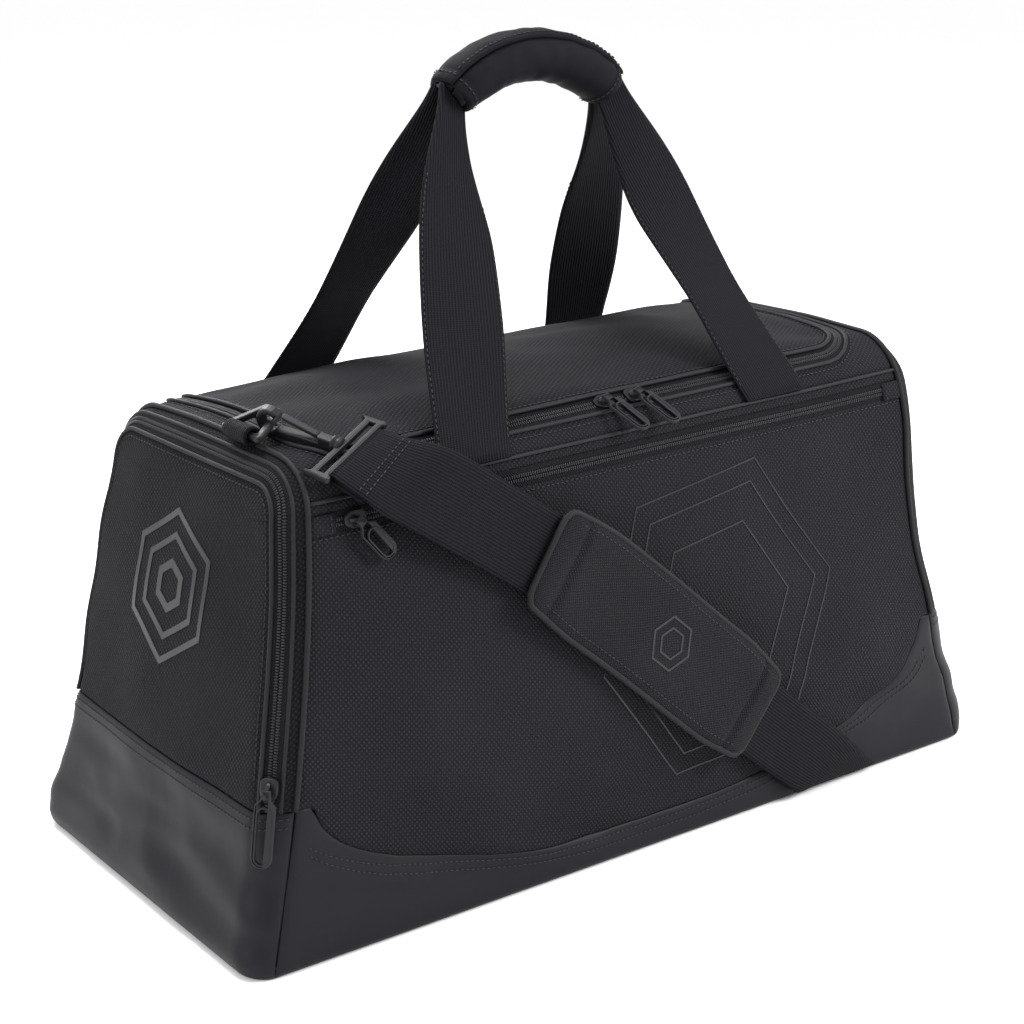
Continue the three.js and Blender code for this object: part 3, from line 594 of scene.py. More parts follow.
def ribbed_webbing(name, colour):
    """Flat polyester webbing: fine ribs along its length, crossed by the weft, matte."""
    material, tree, surface = shader(name, 0.75, 0.07)
    cloth = add_node(tree, "ShaderNodeUVMap", uv_map="cloth").outputs[0]
    ribs = waves(tree, cloth, 1.9)
    weft = waves(tree, cloth, 1.3, math.pi / 2)
    height = scaled_sum(tree, weft, 0.35, ribs)
    tones(tree, surface, times(tree, height, 0.74), colour, 0.3, 2.0)
    bump(tree, surface, height, 0.0004, 0.9)
    return material


def knitted_neoprene(name, colour):
    """Foam rubber faced with fine knit: soft, matte and slightly uneven."""
    material, tree, surface = shader(name, 0.7, 0.06)
    place = add_node(tree, "ShaderNodeTexCoord").outputs["Object"]
    knit = add_node(tree, "ShaderNodeTexNoise", {"Vector": place, "Scale": 900.0, "Detail": 1.0}).outputs[0]
    soft = add_node(tree, "ShaderNodeTexNoise", {"Vector": place, "Scale": 60.0, "Detail": 2.0}).outputs[0]
    tones(tree, surface, soft, colour, 0.85, 1.15)
    bump(tree, surface, scaled_sum(tree, knit, 0.25, soft), 0.0005, 0.5)
    return material


def moulded(name, colour, roughness=0.45, specular=0.4, metallic=0.0, grain_mm=0.8, depth=0.00005):
    """Injection-moulded or cast: an even colour with a fine grain that breaks up the highlights."""
    material, tree, surface = shader(name, roughness, specular, metallic)
    place = add_node(tree, "ShaderNodeTexCoord").outputs["Object"]
    grain = add_node(tree, "ShaderNodeTexNoise",
                     {"Vector": place, "Scale": 1 / (grain_mm * MM), "Detail": 2.0}).outputs[0]
    wear = add_node(tree, "ShaderNodeTexNoise", {"Vector": place, "Scale": 90.0, "Detail": 3.0}).outputs[0]
    tones(tree, surface, wear, colour, 0.86, 1.14)
    rough = add_node(tree, "ShaderNodeMapRange",
                     {"Value": wear, "To Min": roughness - 0.06, "To Max": roughness + 0.08}).outputs[0]
    tree.links.new(rough, surface.inputs["Roughness"])
    bump(tree, surface, grain, depth, 0.6)
    return material


MATERIALS = {}


def finish_for(name):
    """Each finish is made once, from the colours in the settings."""
    if name in MATERIALS:
        return MATERIALS[name]
    s = settings()
    makers = {
        "woven": lambda: woven_polyester("woven polyester", s.woven_colour),
        # The ends are the same woven polyester as the front, coloured darker: painted shade on the ends.
        "woven_shaded_end": lambda: woven_polyester("woven polyester, end, painted shade", s.end_shaded_colour),
        "pad": lambda: woven_polyester("fine woven pad cover", s.pad_colour, 1.3),
        "coated": lambda: coated_polyester("coated polyester", s.coated_colour),
        "binding": lambda: moulded("folded binding over cord", s.binding_colour, 0.6, 0.18),
        "webbing": lambda: ribbed_webbing("ribbed webbing", s.webbing_colour),
        "neoprene": lambda: knitted_neoprene("knit-faced neoprene", s.grip_colour),
        "tape": lambda: woven_polyester("woven zip tape", s.tape_colour, 1.1),
        "coil": lambda: moulded("nylon zip coil, moulded", s.coil_colour, 0.42, 0.3),
        "plastic": lambda: moulded("acetal, moulded", s.plastic_colour, 0.42, 0.2),
        "metal": lambda: moulded("zinc, cast and painted", s.metal_colour, 0.38, 0.3, 0.3),
        "rubber": lambda: moulded("rubber, moulded", s.rubber_colour, 0.6, 0.2),
        "thread": lambda: moulded("bonded nylon thread", s.thread_colour, 0.55, 0.2),
        "print": lambda: moulded("tonal print, rubberised ink", s.print_colour, 0.32, 0.26),
        "lining": lambda: woven_polyester("thin woven lining", s.lining_colour, 1.5),
        "mesh": lambda: moulded("knitted mesh yarn", s.mesh_colour, 0.75, 0.15),
        "board": lambda: moulded("polyethylene sheet", s.lining_colour, 0.6, 0.3),
    }
    MATERIALS[name] = makers[name]()
    return MATERIALS[name]


def colour(name, text, note):
    return bpy.props.FloatVectorProperty(name=name, description=note, subtype="COLOR", size=3,
                                         min=0, max=1, default=linear(text))


class HoldallSettings(bpy.types.PropertyGroup):
    """Sizes and colours a user would change."""
    stitch_pitch: bpy.props.FloatProperty(name="Stitch pitch", description="From one stitch to the next",
                                          default=0.0036, unit="LENGTH")
    coil_pitch: bpy.props.FloatProperty(name="Coil pitch", description="From one zip coil to the next",
                                        default=0.0016, unit="LENGTH")
    piping_radius: bpy.props.FloatProperty(name="Piping radius", description="Half the piping's thickness",
                                           default=0.0017, unit="LENGTH")
    woven_colour: colour("Woven cloth", "#18171B", "Front, rear and top panels")
    # Painted shade: the end panels are the same cloth as the front, set darker than it.
    end_shaded_colour: colour("End cloth, painted shade", "#131216", "End panels")
    pad_colour: colour("Pad cloth", "#1A191D", "Cover of the shoulder pad")
    coated_colour: colour("Coated cloth", "#131217", "Foot band")
    binding_colour: colour("Binding", "#141317", "Piping and binding")
    webbing_colour: colour("Webbing", "#111014", "Handles and strap")
    grip_colour: colour("Grip", "#111014", "Grip wrap")
    tape_colour: colour("Zip tape", "#121114", "Zip tapes")
    coil_colour: colour("Zip coil", "#1A191D", "Zip coils")
    plastic_colour: colour("Plastic", "#151417", "Rings, hooks and bars")
    metal_colour: colour("Slider", "#161518", "Zip sliders")
    rubber_colour: colour("Pull", "#1D1C20", "Zip pulls")
    thread_colour: colour("Thread", "#242328", "Stitches")
    print_colour: colour("Print", "#1A191D", "Tonal print")
    lining_colour: colour("Lining", "#151417", "Linings and board")
    mesh_colour: colour("Mesh", "#201F23", "Mesh pocket")


class HOLDALL_OT_stage(bpy.types.Operator):
    """Camera, floor and soft studio light"""
    bl_idname = "holdall.stage"
    bl_label = "Stage"

    def execute(self, context):
        yaw, pitch, distance = math.radians(37.2), math.radians(18.3), 1.287
        look = Vector((math.sin(yaw) * math.cos(pitch), math.cos(yaw) * math.cos(pitch), -math.sin(pitch)))
        lens = bpy.data.cameras.new("camera")
        lens.sensor_width = 36
        lens.lens = 69.8
        lens.shift_x = -0.016
        lens.shift_y = 0.048
        camera = bpy.data.objects.new("camera", lens)
        camera.location = Vector((0, 0, 0.15)) - look * distance
        camera.rotation_euler = look.to_track_quat("-Z", "Y").to_euler()
        context.scene.collection.objects.link(camera)
        context.scene.camera = camera
        floor = bpy.data.meshes.new("floor")
        floor.from_pydata([(-60, -60, 0), (60, -60, 0), (60, 60, 0), (-60, 60, 0)], [], [(0, 1, 2, 3)])
        pale, _, surface = shader("pale paper", 0.9)
        surface.inputs["Base Color"].default_value = (*linear("#F8F8F8"), 1)
        floor.materials.append(pale)
        floor_piece = bpy.data.objects.new("floor", floor)
        context.scene.collection.objects.link(floor_piece)
        world = bpy.data.worlds.new("studio")
        world.use_nodes = True
        world.node_tree.nodes["Background"].inputs[0].default_value = (1, 1, 1, 1)
        world.node_tree.nodes["Background"].inputs[1].default_value = 1.05
        context.scene.world = world
        context.scene.view_settings.view_transform = "Standard"
        lights = (("key", (1.4, -1.5, 1.4), 0.9, 62), ("top", (-0.2, 0.5, 1.9), 0.8, 40),
                  ("side", (-1.9, -0.2, 1.0), 0.5, 14), ("rim", (0.2, 1.9, 1.2), 0.8, 22))
        for name, place, size, power in lights:
            light = bpy.data.lights.new(name, "AREA")
            light.size = size
            light.energy = power
            lamp = bpy.data.objects.new(name, light)
            lamp.location = place
            lamp.rotation_euler = (Vector((0, 0, 0.15)) - Vector(place)).to_track_quat("-Z", "Y").to_euler()
            context.scene.collection.objects.link(lamp)
        return {"FINISHED"}


# ---- shoulder strap ----
def catmull(points, t):
    """A point on the centripetal curve through the points, t from 0 to 1."""
    place = t * (len(points) - 1)
    k = min(int(place), len(points) - 2)
    w = place - k
    p1, p2 = points[k], points[k + 1]
    p0 = points[k - 1] if k else p1 * 2 - p2
    p3 = points[k + 2] if k + 2 < len(points) else p2 * 2 - p1
    d0 = max(1e-6, (p1 - p0).length) ** 0.5
    d1 = max(1e-6, (p2 - p1).length) ** 0.5
    d2 = max(1e-6, (p3 - p2).length) ** 0.5
    m1 = ((p1 - p0) / d0 - (p2 - p0) / (d0 + d1) + (p2 - p1) / d1) * d1
    m2 = ((p2 - p1) / d1 - (p3 - p1) / (d1 + d2) + (p3 - p2) / d2) * d1
    c2 = -3 * p1 + 3 * p2 - 2 * m1 - m2
    c3 = 2 * p1 - 2 * p2 + m1 + m2
    return p1 + m1 * w + c2 * w * w + c3 * w ** 3


def strap_stations(steps):
    points = [Vector(row[:3]) * MM for row in STRAP_ROUTE]
    sides = [Vector(row[3:]).normalized() for row in STRAP_ROUTE]
    stations = []
    for k in range(steps + 1):
        t = k / steps
        place = t * (len(points) - 1)
        row = min(int(place), len(points) - 2)
        across = sides[row].lerp(sides[row + 1], place - row).normalized()
        p = catmull(points, t)
        tangent = (catmull(points, min(1, t + 0.002)) - catmull(points, max(0, t - 0.002))).normalized()
        out = tangent.cross(across)
        stations.append((p, across, out.normalized(), 1 / max(0.3, out.length), 1.0))
    return stations


class HOLDALL_OT_strap(bpy.types.Operator):
    """Shoulder strap of flat webbing, clipped at both ends"""
    bl_idname = "holdall.strap"
    bl_label = "Shoulder strap"

    def execute(self, context):
        stations = strap_stations(260)
        piece = sweep("shoulder_strap_webbing", stations, flat_outline(WEBBING, 0.0019, 14),
                      finish_for("webbing"), "bag")
        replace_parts(piece, "shoulder_strap")
        pad_parts = make_pad(stations)
        fold = strap_fold(stations)
        slide = strap_slide(next(s for s in stations if s[0].x > 0.250 and s[0].z > 0.118))
        return {"FINISHED"}


def strap_slide(station):
    """The three-bar slide that sets the strap's length."""
    p, across, out = station[:3]
    along = out.cross(across).normalized()
    frame_line = rounded(millimetres([(-29, -11), (29, -11), (29, 11), (-29, 11)]), 0.003)
    slots = [millimetres([(-25.6, y), (25.6, y), (25.6, y + 6.2), (-25.6, y + 6.2)]) for y in (-8.4, 2.2)]
    piece = plate("strap_slide", frame_line, slots, 0.0036, p + out * 0.0022, across, along,
                  finish_for("plastic"), "bag", 0.0009)
    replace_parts(piece, "strap_adjuster")
    return piece


def strap_fold(stations):
    """The strap's end goes round the bar and is sewn down under itself."""
    p, across, out = stations[0][:3]
    tangent = (stations[1][0] - p).normalized()
    points = []
    for k in range(9):
        turn = math.pi * k / 8
        points.append(p - tangent * (0.0045 * math.sin(turn)) + out * (0.0022 * (math.cos(turn) - 1)))
    under = [(s[0] - s[2] * 0.0044, s[1], s[2]) for s in stations[:10]]
    line = [(q, across, (q - (p - out * 0.0022)).normalized()) for q in points]
    back = [(q, a, -o) for q, a, o in under]
    piece = sweep("strap_end_fold", line + back, flat_outline(WEBBING, 0.0018, 10), finish_for("webbing"),
                  "bag")
    for at in (7, 9):
        station = stations[at]
        row = [station[0] + station[1] * (w * MM) * station[3] + station[2] * 0.0012
               for w in range(-23, 24, 2)]
        stitch_row("bag", [(q, station[2]) for q in row])
    return [piece]


PAD_FROM_X, PAD_TO_X, PAD_WIDTH, PAD_THICKNESS = -0.084, 0.076, 0.068, 0.0085
PAD_HEM = 0.0024            # the pad's thickness at its bound edge


def make_pad(stations):
    """The shoulder pad: foam in a woven cover, bound round its edge, sewn across near both ends."""
    kept = [s for s in stations if PAD_FROM_X < s[0].x < PAD_TO_X and s[0].z > 0.02]
    length = sum((b[0] - a[0]).length for a, b in zip(kept, kept[1:]))
    half = PAD_WIDTH / 2
    corner = 0.009

    def spot(a, b, out):
        """a runs along the pad and b across it, both in metres from its middle."""
        place = (a / length + 0.5) * (len(kept) - 1)
        k = max(0, min(int(place), len(kept) - 2))
        p0, p1 = kept[k], kept[k + 1]
        p = p0[0].lerp(p1[0], place - k)
        along = (kept[min(k + 2, len(kept) - 1)][0] - kept[max(k - 1, 0)][0]).normalized()
        up = p0[2].lerp(p1[2], place - k).normalized()
        side = up.cross(along).normalized()
        return p + side * b + up * (0.0014 + out)

    def reach(a):
        """Half the pad's width at a: the corners are rounded and the ends drawn in."""
        beyond = abs(a) - (length / 2 - corner)
        drawn = 0.004 * smooth(length / 2 - 0.045, length / 2, abs(a))
        return half - drawn - (rounding(beyond, corner) if beyond > 0 else 0)

    def thick(a, b, wide):
        edge = max(0.0, 1 - abs(b / wide) ** 5) ** 0.5 * max(0.0, 1 - (abs(a) / (length / 2)) ** 16) ** 0.5
        seam = 1 - 0.45 * math.exp(-((abs(a) - (length / 2 - 0.021)) / 0.0022) ** 2)
        foam = 1 + 0.06 * noise.noise(Vector((a * 60, b * 60, 0)))
        return PAD_HEM + (PAD_THICKNESS - PAD_HEM) * edge * seam * foam

    vertices, faces, uvs = [], [], []
    along_steps = outline_steps(96, length)
    across_steps = outline_steps(30, PAD_WIDTH)
    columns = len(across_steps)
    for layer in (1, 0):
        for ta in along_steps:
            a = (ta - 0.5) * length * 0.9995
            wide = max(0.004, reach(a))
            for tb in across_steps:
                b = (2 * tb - 1) * wide
                vertices.append(spot(a, b, thick(a, b, wide) if layer else 0.0004))
                uvs.append((a, b))
    rows = len(along_steps)
    size = rows * columns
    for j in range(rows - 1):
        for i in range(columns - 1):
            k = j * columns + i
            faces.append((k, k + 1, k + 1 + columns, k + columns))
            faces.append((size + k, size + k + columns, size + k + 1 + columns, size + k + 1))
    for j in range(rows - 1):
        for i, turn in ((0, False), (columns - 1, True)):
            k = j * columns + i
            quad = (k, k + columns, size + k + columns, size + k)
            faces.append(tuple(reversed(quad)) if turn else quad)
    for i in range(columns - 1):
        for j, turn in ((0, True), (rows - 1, False)):
            k = j * columns + i
            quad = (k, k + 1, size + k + 1, size + k)
            faces.append(quad if not turn else tuple(reversed(quad)))
    top = normal_of(vertices, faces[0])
    if top.y > 0:
        faces = [tuple(reversed(f)) for f in faces]
    pad = new_piece("shoulder_pad_cover", vertices, faces, finish_for("pad"), "bag", uvs)
    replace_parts(pad, "shoulder_pad")
    rim = []
    for k in range(121):
        turn = 2 * math.pi * k / 120
        a = (length / 2) * max(-1, min(1, 1.28 * math.cos(turn)))
        b = math.copysign(reach(a), math.sin(turn))
        if abs(1.28 * math.cos(turn)) > 1:
            b = reach(a) * max(-1, min(1, math.sin(turn) / math.sqrt(1 - (1 / 1.28) ** 2)))
        rim.append(spot(a * 0.999, b, 0.0032))
    binding = sweep("pad_binding", run_of(rim, tuple(kept[len(kept) // 2][2])), ring_outline(0.0021, 10),
                    finish_for("binding"), "bag")
    for end_side in (-1, 1):
        a = end_side * (length / 2 - 0.021)
        for shift in (-0.0013, 0.0013):
            stitch_row("bag",
                       [(spot(a + shift, b * reach(a), thick(a, b * reach(a), reach(a)) + 0.0001),
                         kept[0][2])
                               for b in [k / 10 for k in range(-9, 10)]])
    for side in (-1, 1):
        line = []
        for k in range(60):
            a = (k / 59 - 0.5) * (length - 0.03)
            line.append((spot(a, side * (reach(a) - 0.0055),
                              thick(a, reach(a) - 0.0055, reach(a)) + 0.0001), kept[0][2]))
        stitch_row("bag", line)
    ribbons = hexagon_mark("pad_mark", lambda a, b, o: spot(a, b, thick(a, b, half) + o), (0, 0),
                           (0.0165, 0.0095), 0.0016, "bag")
    return [pad, binding, *ribbons]


def hexagon_mark(name, place, centre, radii, width, body, turn=0.0):
    """A plain printed mark of nested hexagon outlines, a thin skin of ink on the cloth."""
    vertices, faces = [], []
    for radius in radii:
        steps = max(2, int(radius / 0.004))
        first = len(vertices)
        rims = [radius - width / 2, radius + width / 2]
        for k in range(6 * steps):
            corner, part = divmod(k, steps)
            start, stop = turn + corner * math.pi / 3, turn + (corner + 1) * math.pi / 3
            for rim in rims:
                x = rim * (math.cos(start) + (math.cos(stop) - math.cos(start)) * part / steps)
                y = rim * (math.sin(start) + (math.sin(stop) - math.sin(start)) * part / steps)
                for out in (INK, 0.0):
                    vertices.append(place(centre[0] + x, centre[1] + y, out))
        for k in range(6 * steps):
            a, b = first + 4 * k, first + 4 * ((k + 1) % (6 * steps))
            faces += [(a, a + 2, b + 2, b), (a + 1, b + 1, b + 3, a + 3), (a, b, b + 1, a + 1),
                      (a + 2, a + 3, b + 3, b + 2)]
    if normal_of(vertices, faces[0]).dot(vertices[0] - vertices[1]) < 0:
        faces = [tuple(reversed(f)) for f in faces]
    mark = new_piece(name, vertices, faces, finish_for("print"), body, None)
    mark.data.polygons.foreach_set("use_smooth", [False] * len(mark.data.polygons))
    return [mark]


# ---- the shell: foot band, front, rear, top, lid, ends ----
def band_edge_z(x):
    drop = max(0.0, 1 - (x / 0.262) ** 2) ** 0.55
    return BAND_CORNER_Z - (BAND_CORNER_Z - BAND_MIDDLE_Z) * drop


class HOLDALL_OT_foot_band(bpy.types.Operator):
    """Coated band round the foot, with a double row of stitches under its top edge"""
    bl_idname = "holdall.foot_band"
    bl_label = "Foot band"

    def execute(self, context):
        for rear, name in ((False, "front"), (True, "rear")):
            way = (0, 1 if rear else -1, 0)

            def top(a):
                x = (2 * a - 1)
                z = band_edge_z(x * half_length(BAND_MIDDLE_Z + 0.03))
                return x * seam_x(z), mirrored(length_at_height(z), rear)

            def bottom(a):
                return (2 * a - 1) * seam_x(0), mirrored(0.0, rear)

            piece = stretched(f"foot_band_{name}", bottom, top, skin, finish_for("coated"), "bag", way,
                              (0.56, 0.05), (120, 14))
            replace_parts(piece, f"coated_band_{name}")
            for drop in BAND_STITCH_DROPS:
                line = []
                for k in range(161):
                    x, _ = top(k / 160)
                    z = band_edge_z(x) - drop
                    line.append(skin(x * 0.985, mirrored(length_at_height(max(0.006, z)), rear), 0.0003))
                stitch_row("bag", [(p, Vector(way)) for p in line])
        corners = [(-0.2815, -0.1285), (0.2815, -0.1285), (0.2815, 0.1285), (-0.2815, 0.1285)]
        base = plate("base_cloth", rounded(corners, 0.024, 10), [], 0.0016, Vector((0, 0, 0.0042)),
                     Vector((1, 0, 0)), Vector((0, 1,
                                                0)), finish_for("coated"), "bag", 0.0003)
        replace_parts(base, "base_panel")
        for side, name in ((-1, "left"), (1, "right")):
            def edge(z):
                return lambda a: ((2 * a - 1) * end_reach(z), z)

            piece = stretched(f"foot_band_{name}", edge(0.0), edge(BAND_CORNER_Z),
                              lambda w, z, out: across_end(side, w, z,
                                                           out), finish_for("coated"), "bag", (side, 0, 0),
                              (0.29, 0.09), (80, 26))
            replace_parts(piece, f"coated_band_{name}")
            for drop in BAND_STITCH_DROPS:
                z = BAND_CORNER_Z - drop
                reach = end_reach(z) - 0.002
                line = [(across_end(side, -reach + 2 * reach * k / 90, z, 0.0003), Vector((side, 0, 0)))
                        for k in range(91)]
                stitch_row("bag", line)
        return {"FINISHED"}


def side_lines(rear, low_z, high_z):
    def at(z):
        return lambda a: ((2 * a - 1) * seam_x(z), mirrored(length_at_height(z), rear))
    return at(low_z), at(high_z)


class HOLDALL_OT_sides(bpy.types.Operator):
    """Woven front pocket panel, the welt over its zip, and the rear panel"""
    bl_idname = "holdall.sides"
    bl_label = "Front and rear"

    def execute(self, context):
        for rear, name, node, high in ((False, "front_panel", "front_pocket_panel",
                                        POCKET_ZIP_Z - ZIP_HALF), (True, "rear_panel_cloth", "rear_panel",
                                                                   SEAM_Z)):
            def bottom(a):
                x = 2 * a - 1
                z = band_edge_z(x * half_length(BAND_MIDDLE_Z + 0.03))
                return x * seam_x(z), mirrored(length_at_height(z), rear)

            _, top = side_lines(rear, 0.1, high)
            way = (0, 1 if rear else -1, 0)
            piece = stretched(name, bottom, top, skin, finish_for("woven"), "bag", way, (0.5, 0.2),
                              (130, 46))
            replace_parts(piece, node)
            line = [top(k / 160) for k in range(161)]
            stitch_row("bag",
                       [(skin(x, u - (-1 if rear else 1) * 0.003, 0.0003), Vector(way)) for x, u in line])
        low, high = side_lines(False, POCKET_ZIP_Z + ZIP_HALF, SEAM_Z)
        welt = stretched("pocket_zip_hood", low, high, skin, finish_for("woven"), "bag", (0, -1, 0.3),
                         (0.47, 0.008), (120, 4))
        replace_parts(welt, "pocket_zip_welt")
        seam = [skin((2 * k / 120 - 1) * seam_x(SEAM_Z), length_at_height(SEAM_Z), 0.0004)
                for k in range(121)]
        sweep("front_top_seam", run_of(seam, (0, -0.9, 0.45)), ring_outline(0.0012, 8),
              finish_for("binding"), "bag")

        def on_panel(x, z, out):
            return skin(x, length_at_height(z), out + 0.0001)

        hexagon_mark("front_mark", on_panel, (0.055, 0.130), (0.098, 0.084, 0.060), 0.0011, "bag", 0.12)
        return {"FINISHED"}


def lid_edge(grow, steps=18):
    """The lid's outline from its rear left corner round the front to its rear right corner."""
    x, front, r = LID_HALF_LENGTH + grow, LID_FRONT_Y - grow, LID_CORNER + grow
    points = [(-x, LID_HINGE_Y - k * (LID_HINGE_Y - front - r) / 24) for k in range(24)]
    points += [(-x + r + r * math.cos(math.pi + t), front + r + r * math.sin(math.pi + t))
               for t in [k * math.pi / 2 / steps for k in range(steps)]]
    points += [(-x + r + k * 2 * (x - r) / 80, front) for k in range(80)]
    points += [(x - r + r * math.cos(1.5 * math.pi + t), front + r + r * math.sin(1.5 * math.pi + t))
               for t in [k * math.pi / 2 / steps for k in range(steps)]]
    points += [(x, front + r + k * (LID_HINGE_Y - front - r) / 24) for k in range(25)]
    return points


def on_top(x, y, out=0.0):
    return skin(x, length_at_depth(y), out)


class HOLDALL_OT_top(bpy.types.Operator):
    """The top's surround and the lid that the main zip opens"""
    bl_idname = "holdall.top"
    bl_label = "Top and lid"

    def execute(self, context):
        inner = lid_edge(ZIP_HALF)
        rows, uvs = [], []
        steps = outline_steps(9, 0.03)
        seam = length_at_height(SEAM_Z)
        ring_in, ring_out = [], []
        for x, y in inner:
            ring_in.append((x, length_at_depth(y)))
            ring_out.append(self.outer(x, y, seam))
        for b in steps:
            row, cloth = [], []
            for (x0, u0), (x1, u1) in zip(ring_in, ring_out):
                x, u = x0 + (x1 - x0) * b, u0 + (u1 - u0) * b
                row.append(skin(x, u, dip(0.5, b, 1, 0.03, 0.0009)))
                cloth.append((x, u))
            rows.append(row)
            uvs.append(cloth)
        surround = cloth_panel("top_surround_cloth", rows, uvs, finish_for("woven"), "bag", (0, 0, 1),
                               PANEL)
        rear_low = length_at_depth(LID_HINGE_Y + 0.0006)
        rear_high = 2 * HALF_SECTION - seam
        reach = TOP_HALF_LENGTH - SEAM_SHIFT
        rear = stretched("rear_top_band", lambda a: ((2 * a - 1) * reach, rear_low),
                         lambda a: ((2 * a - 1) * seam_x(SEAM_Z),
                                    rear_high), skin, finish_for("woven"), "bag", (0, 0.5, 1), (0.46,
                                            0.03), (110, 8))
        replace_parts(surround, "top_surround")
        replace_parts(rear, "top_surround")
        self.lid()
        for grow, body in ((ZIP_HALF + 0.0008, "bag"), (-ZIP_HALF - 0.0008, "lid")):
            line = [on_top(x, y, 0.0006) for x, y in lid_edge(grow)]
            sweep(f"main_zip_welt_{body}", run_of(line, (0, -0.3, 1)), ring_outline(0.0014, 8),
                  finish_for("binding"), body)
            offset = 0.0032 if grow > 0 else -0.0032
            row = [on_top(x, y, 0.0003) for x, y in lid_edge(grow + offset)]
            stitch_row(body, [(p, Vector((0, -0.2, 1)).normalized()) for p in row])
        return {"FINISHED"}

    @staticmethod
    def outer(x, y, seam):
        """Where the surround's outer edge lies beyond a point of its inner edge."""
        flat = LID_HALF_LENGTH - LID_CORNER
        if abs(x) <= flat:
            return x, seam
        side = math.copysign(1, x)
        front = LID_FRONT_Y - ZIP_HALF
        turn = max(0.0, min(1.0, (LID_CORNER - (y - front)) / LID_CORNER))
        across = (abs(x) - flat) / (LID_CORNER + ZIP_HALF)
        if y - front < LID_CORNER:
            share = math.atan2(across, max(1e-6, turn)) / (math.pi / 2)
            if share < 0.5:
                return side * (flat + (seam_x(SEAM_Z) - flat) * share * 2), seam
            level = (share - 0.5) * 2
            u = seam + (length_at_depth(front + LID_CORNER) - seam) * level
            z = section(u)[1]
            return side * seam_x(z), u
        return side * seam_x(TOP_Z), length_at_depth(y)

    @staticmethod
    def lid():
        half = LID_HALF_LENGTH - ZIP_HALF
        front, r = LID_FRONT_Y + ZIP_HALF, LID_CORNER - ZIP_HALF

        def front_y(x):
            beyond = abs(x) - (half - r)
            return front + (rounding(beyond, r) if beyond > 0 else 0)

        xs = [-half + r - r * math.cos(k * math.pi / 2 / 14) for k in range(14)]
        xs += [-half + r + k * 2 * (half - r) / 90 for k in range(91)]
        xs += [half - r + r * math.sin((k + 1) * math.pi / 2 / 14) for k in range(14)]
        rows, uvs = [], []
        for b in outline_steps(40, 0.165):
            row, cloth = [], []
            for x in xs:
                low, high = front_y(x), LID_HINGE_Y - 0.0006
                y = low + (high - low) * b
                near = min(half - abs(x), y - low, high - y)
                fold = 0.0042 * noise.noise(Vector((x * 14 + y * 12, y * 20 - x * 6, 5))) * smooth(0, 0.02,
                        near)
                row.append(on_top(x, y, -0.0011 * math.exp(-near / 0.0016) + fold))
                cloth.append((x, length_at_depth(y)))
            rows.append(row)
            uvs.append(cloth)
        lid = cloth_panel("lid_cloth", rows, uvs, finish_for("woven"), "lid", (0, 0, 1), PANEL)
        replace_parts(lid, "lid")


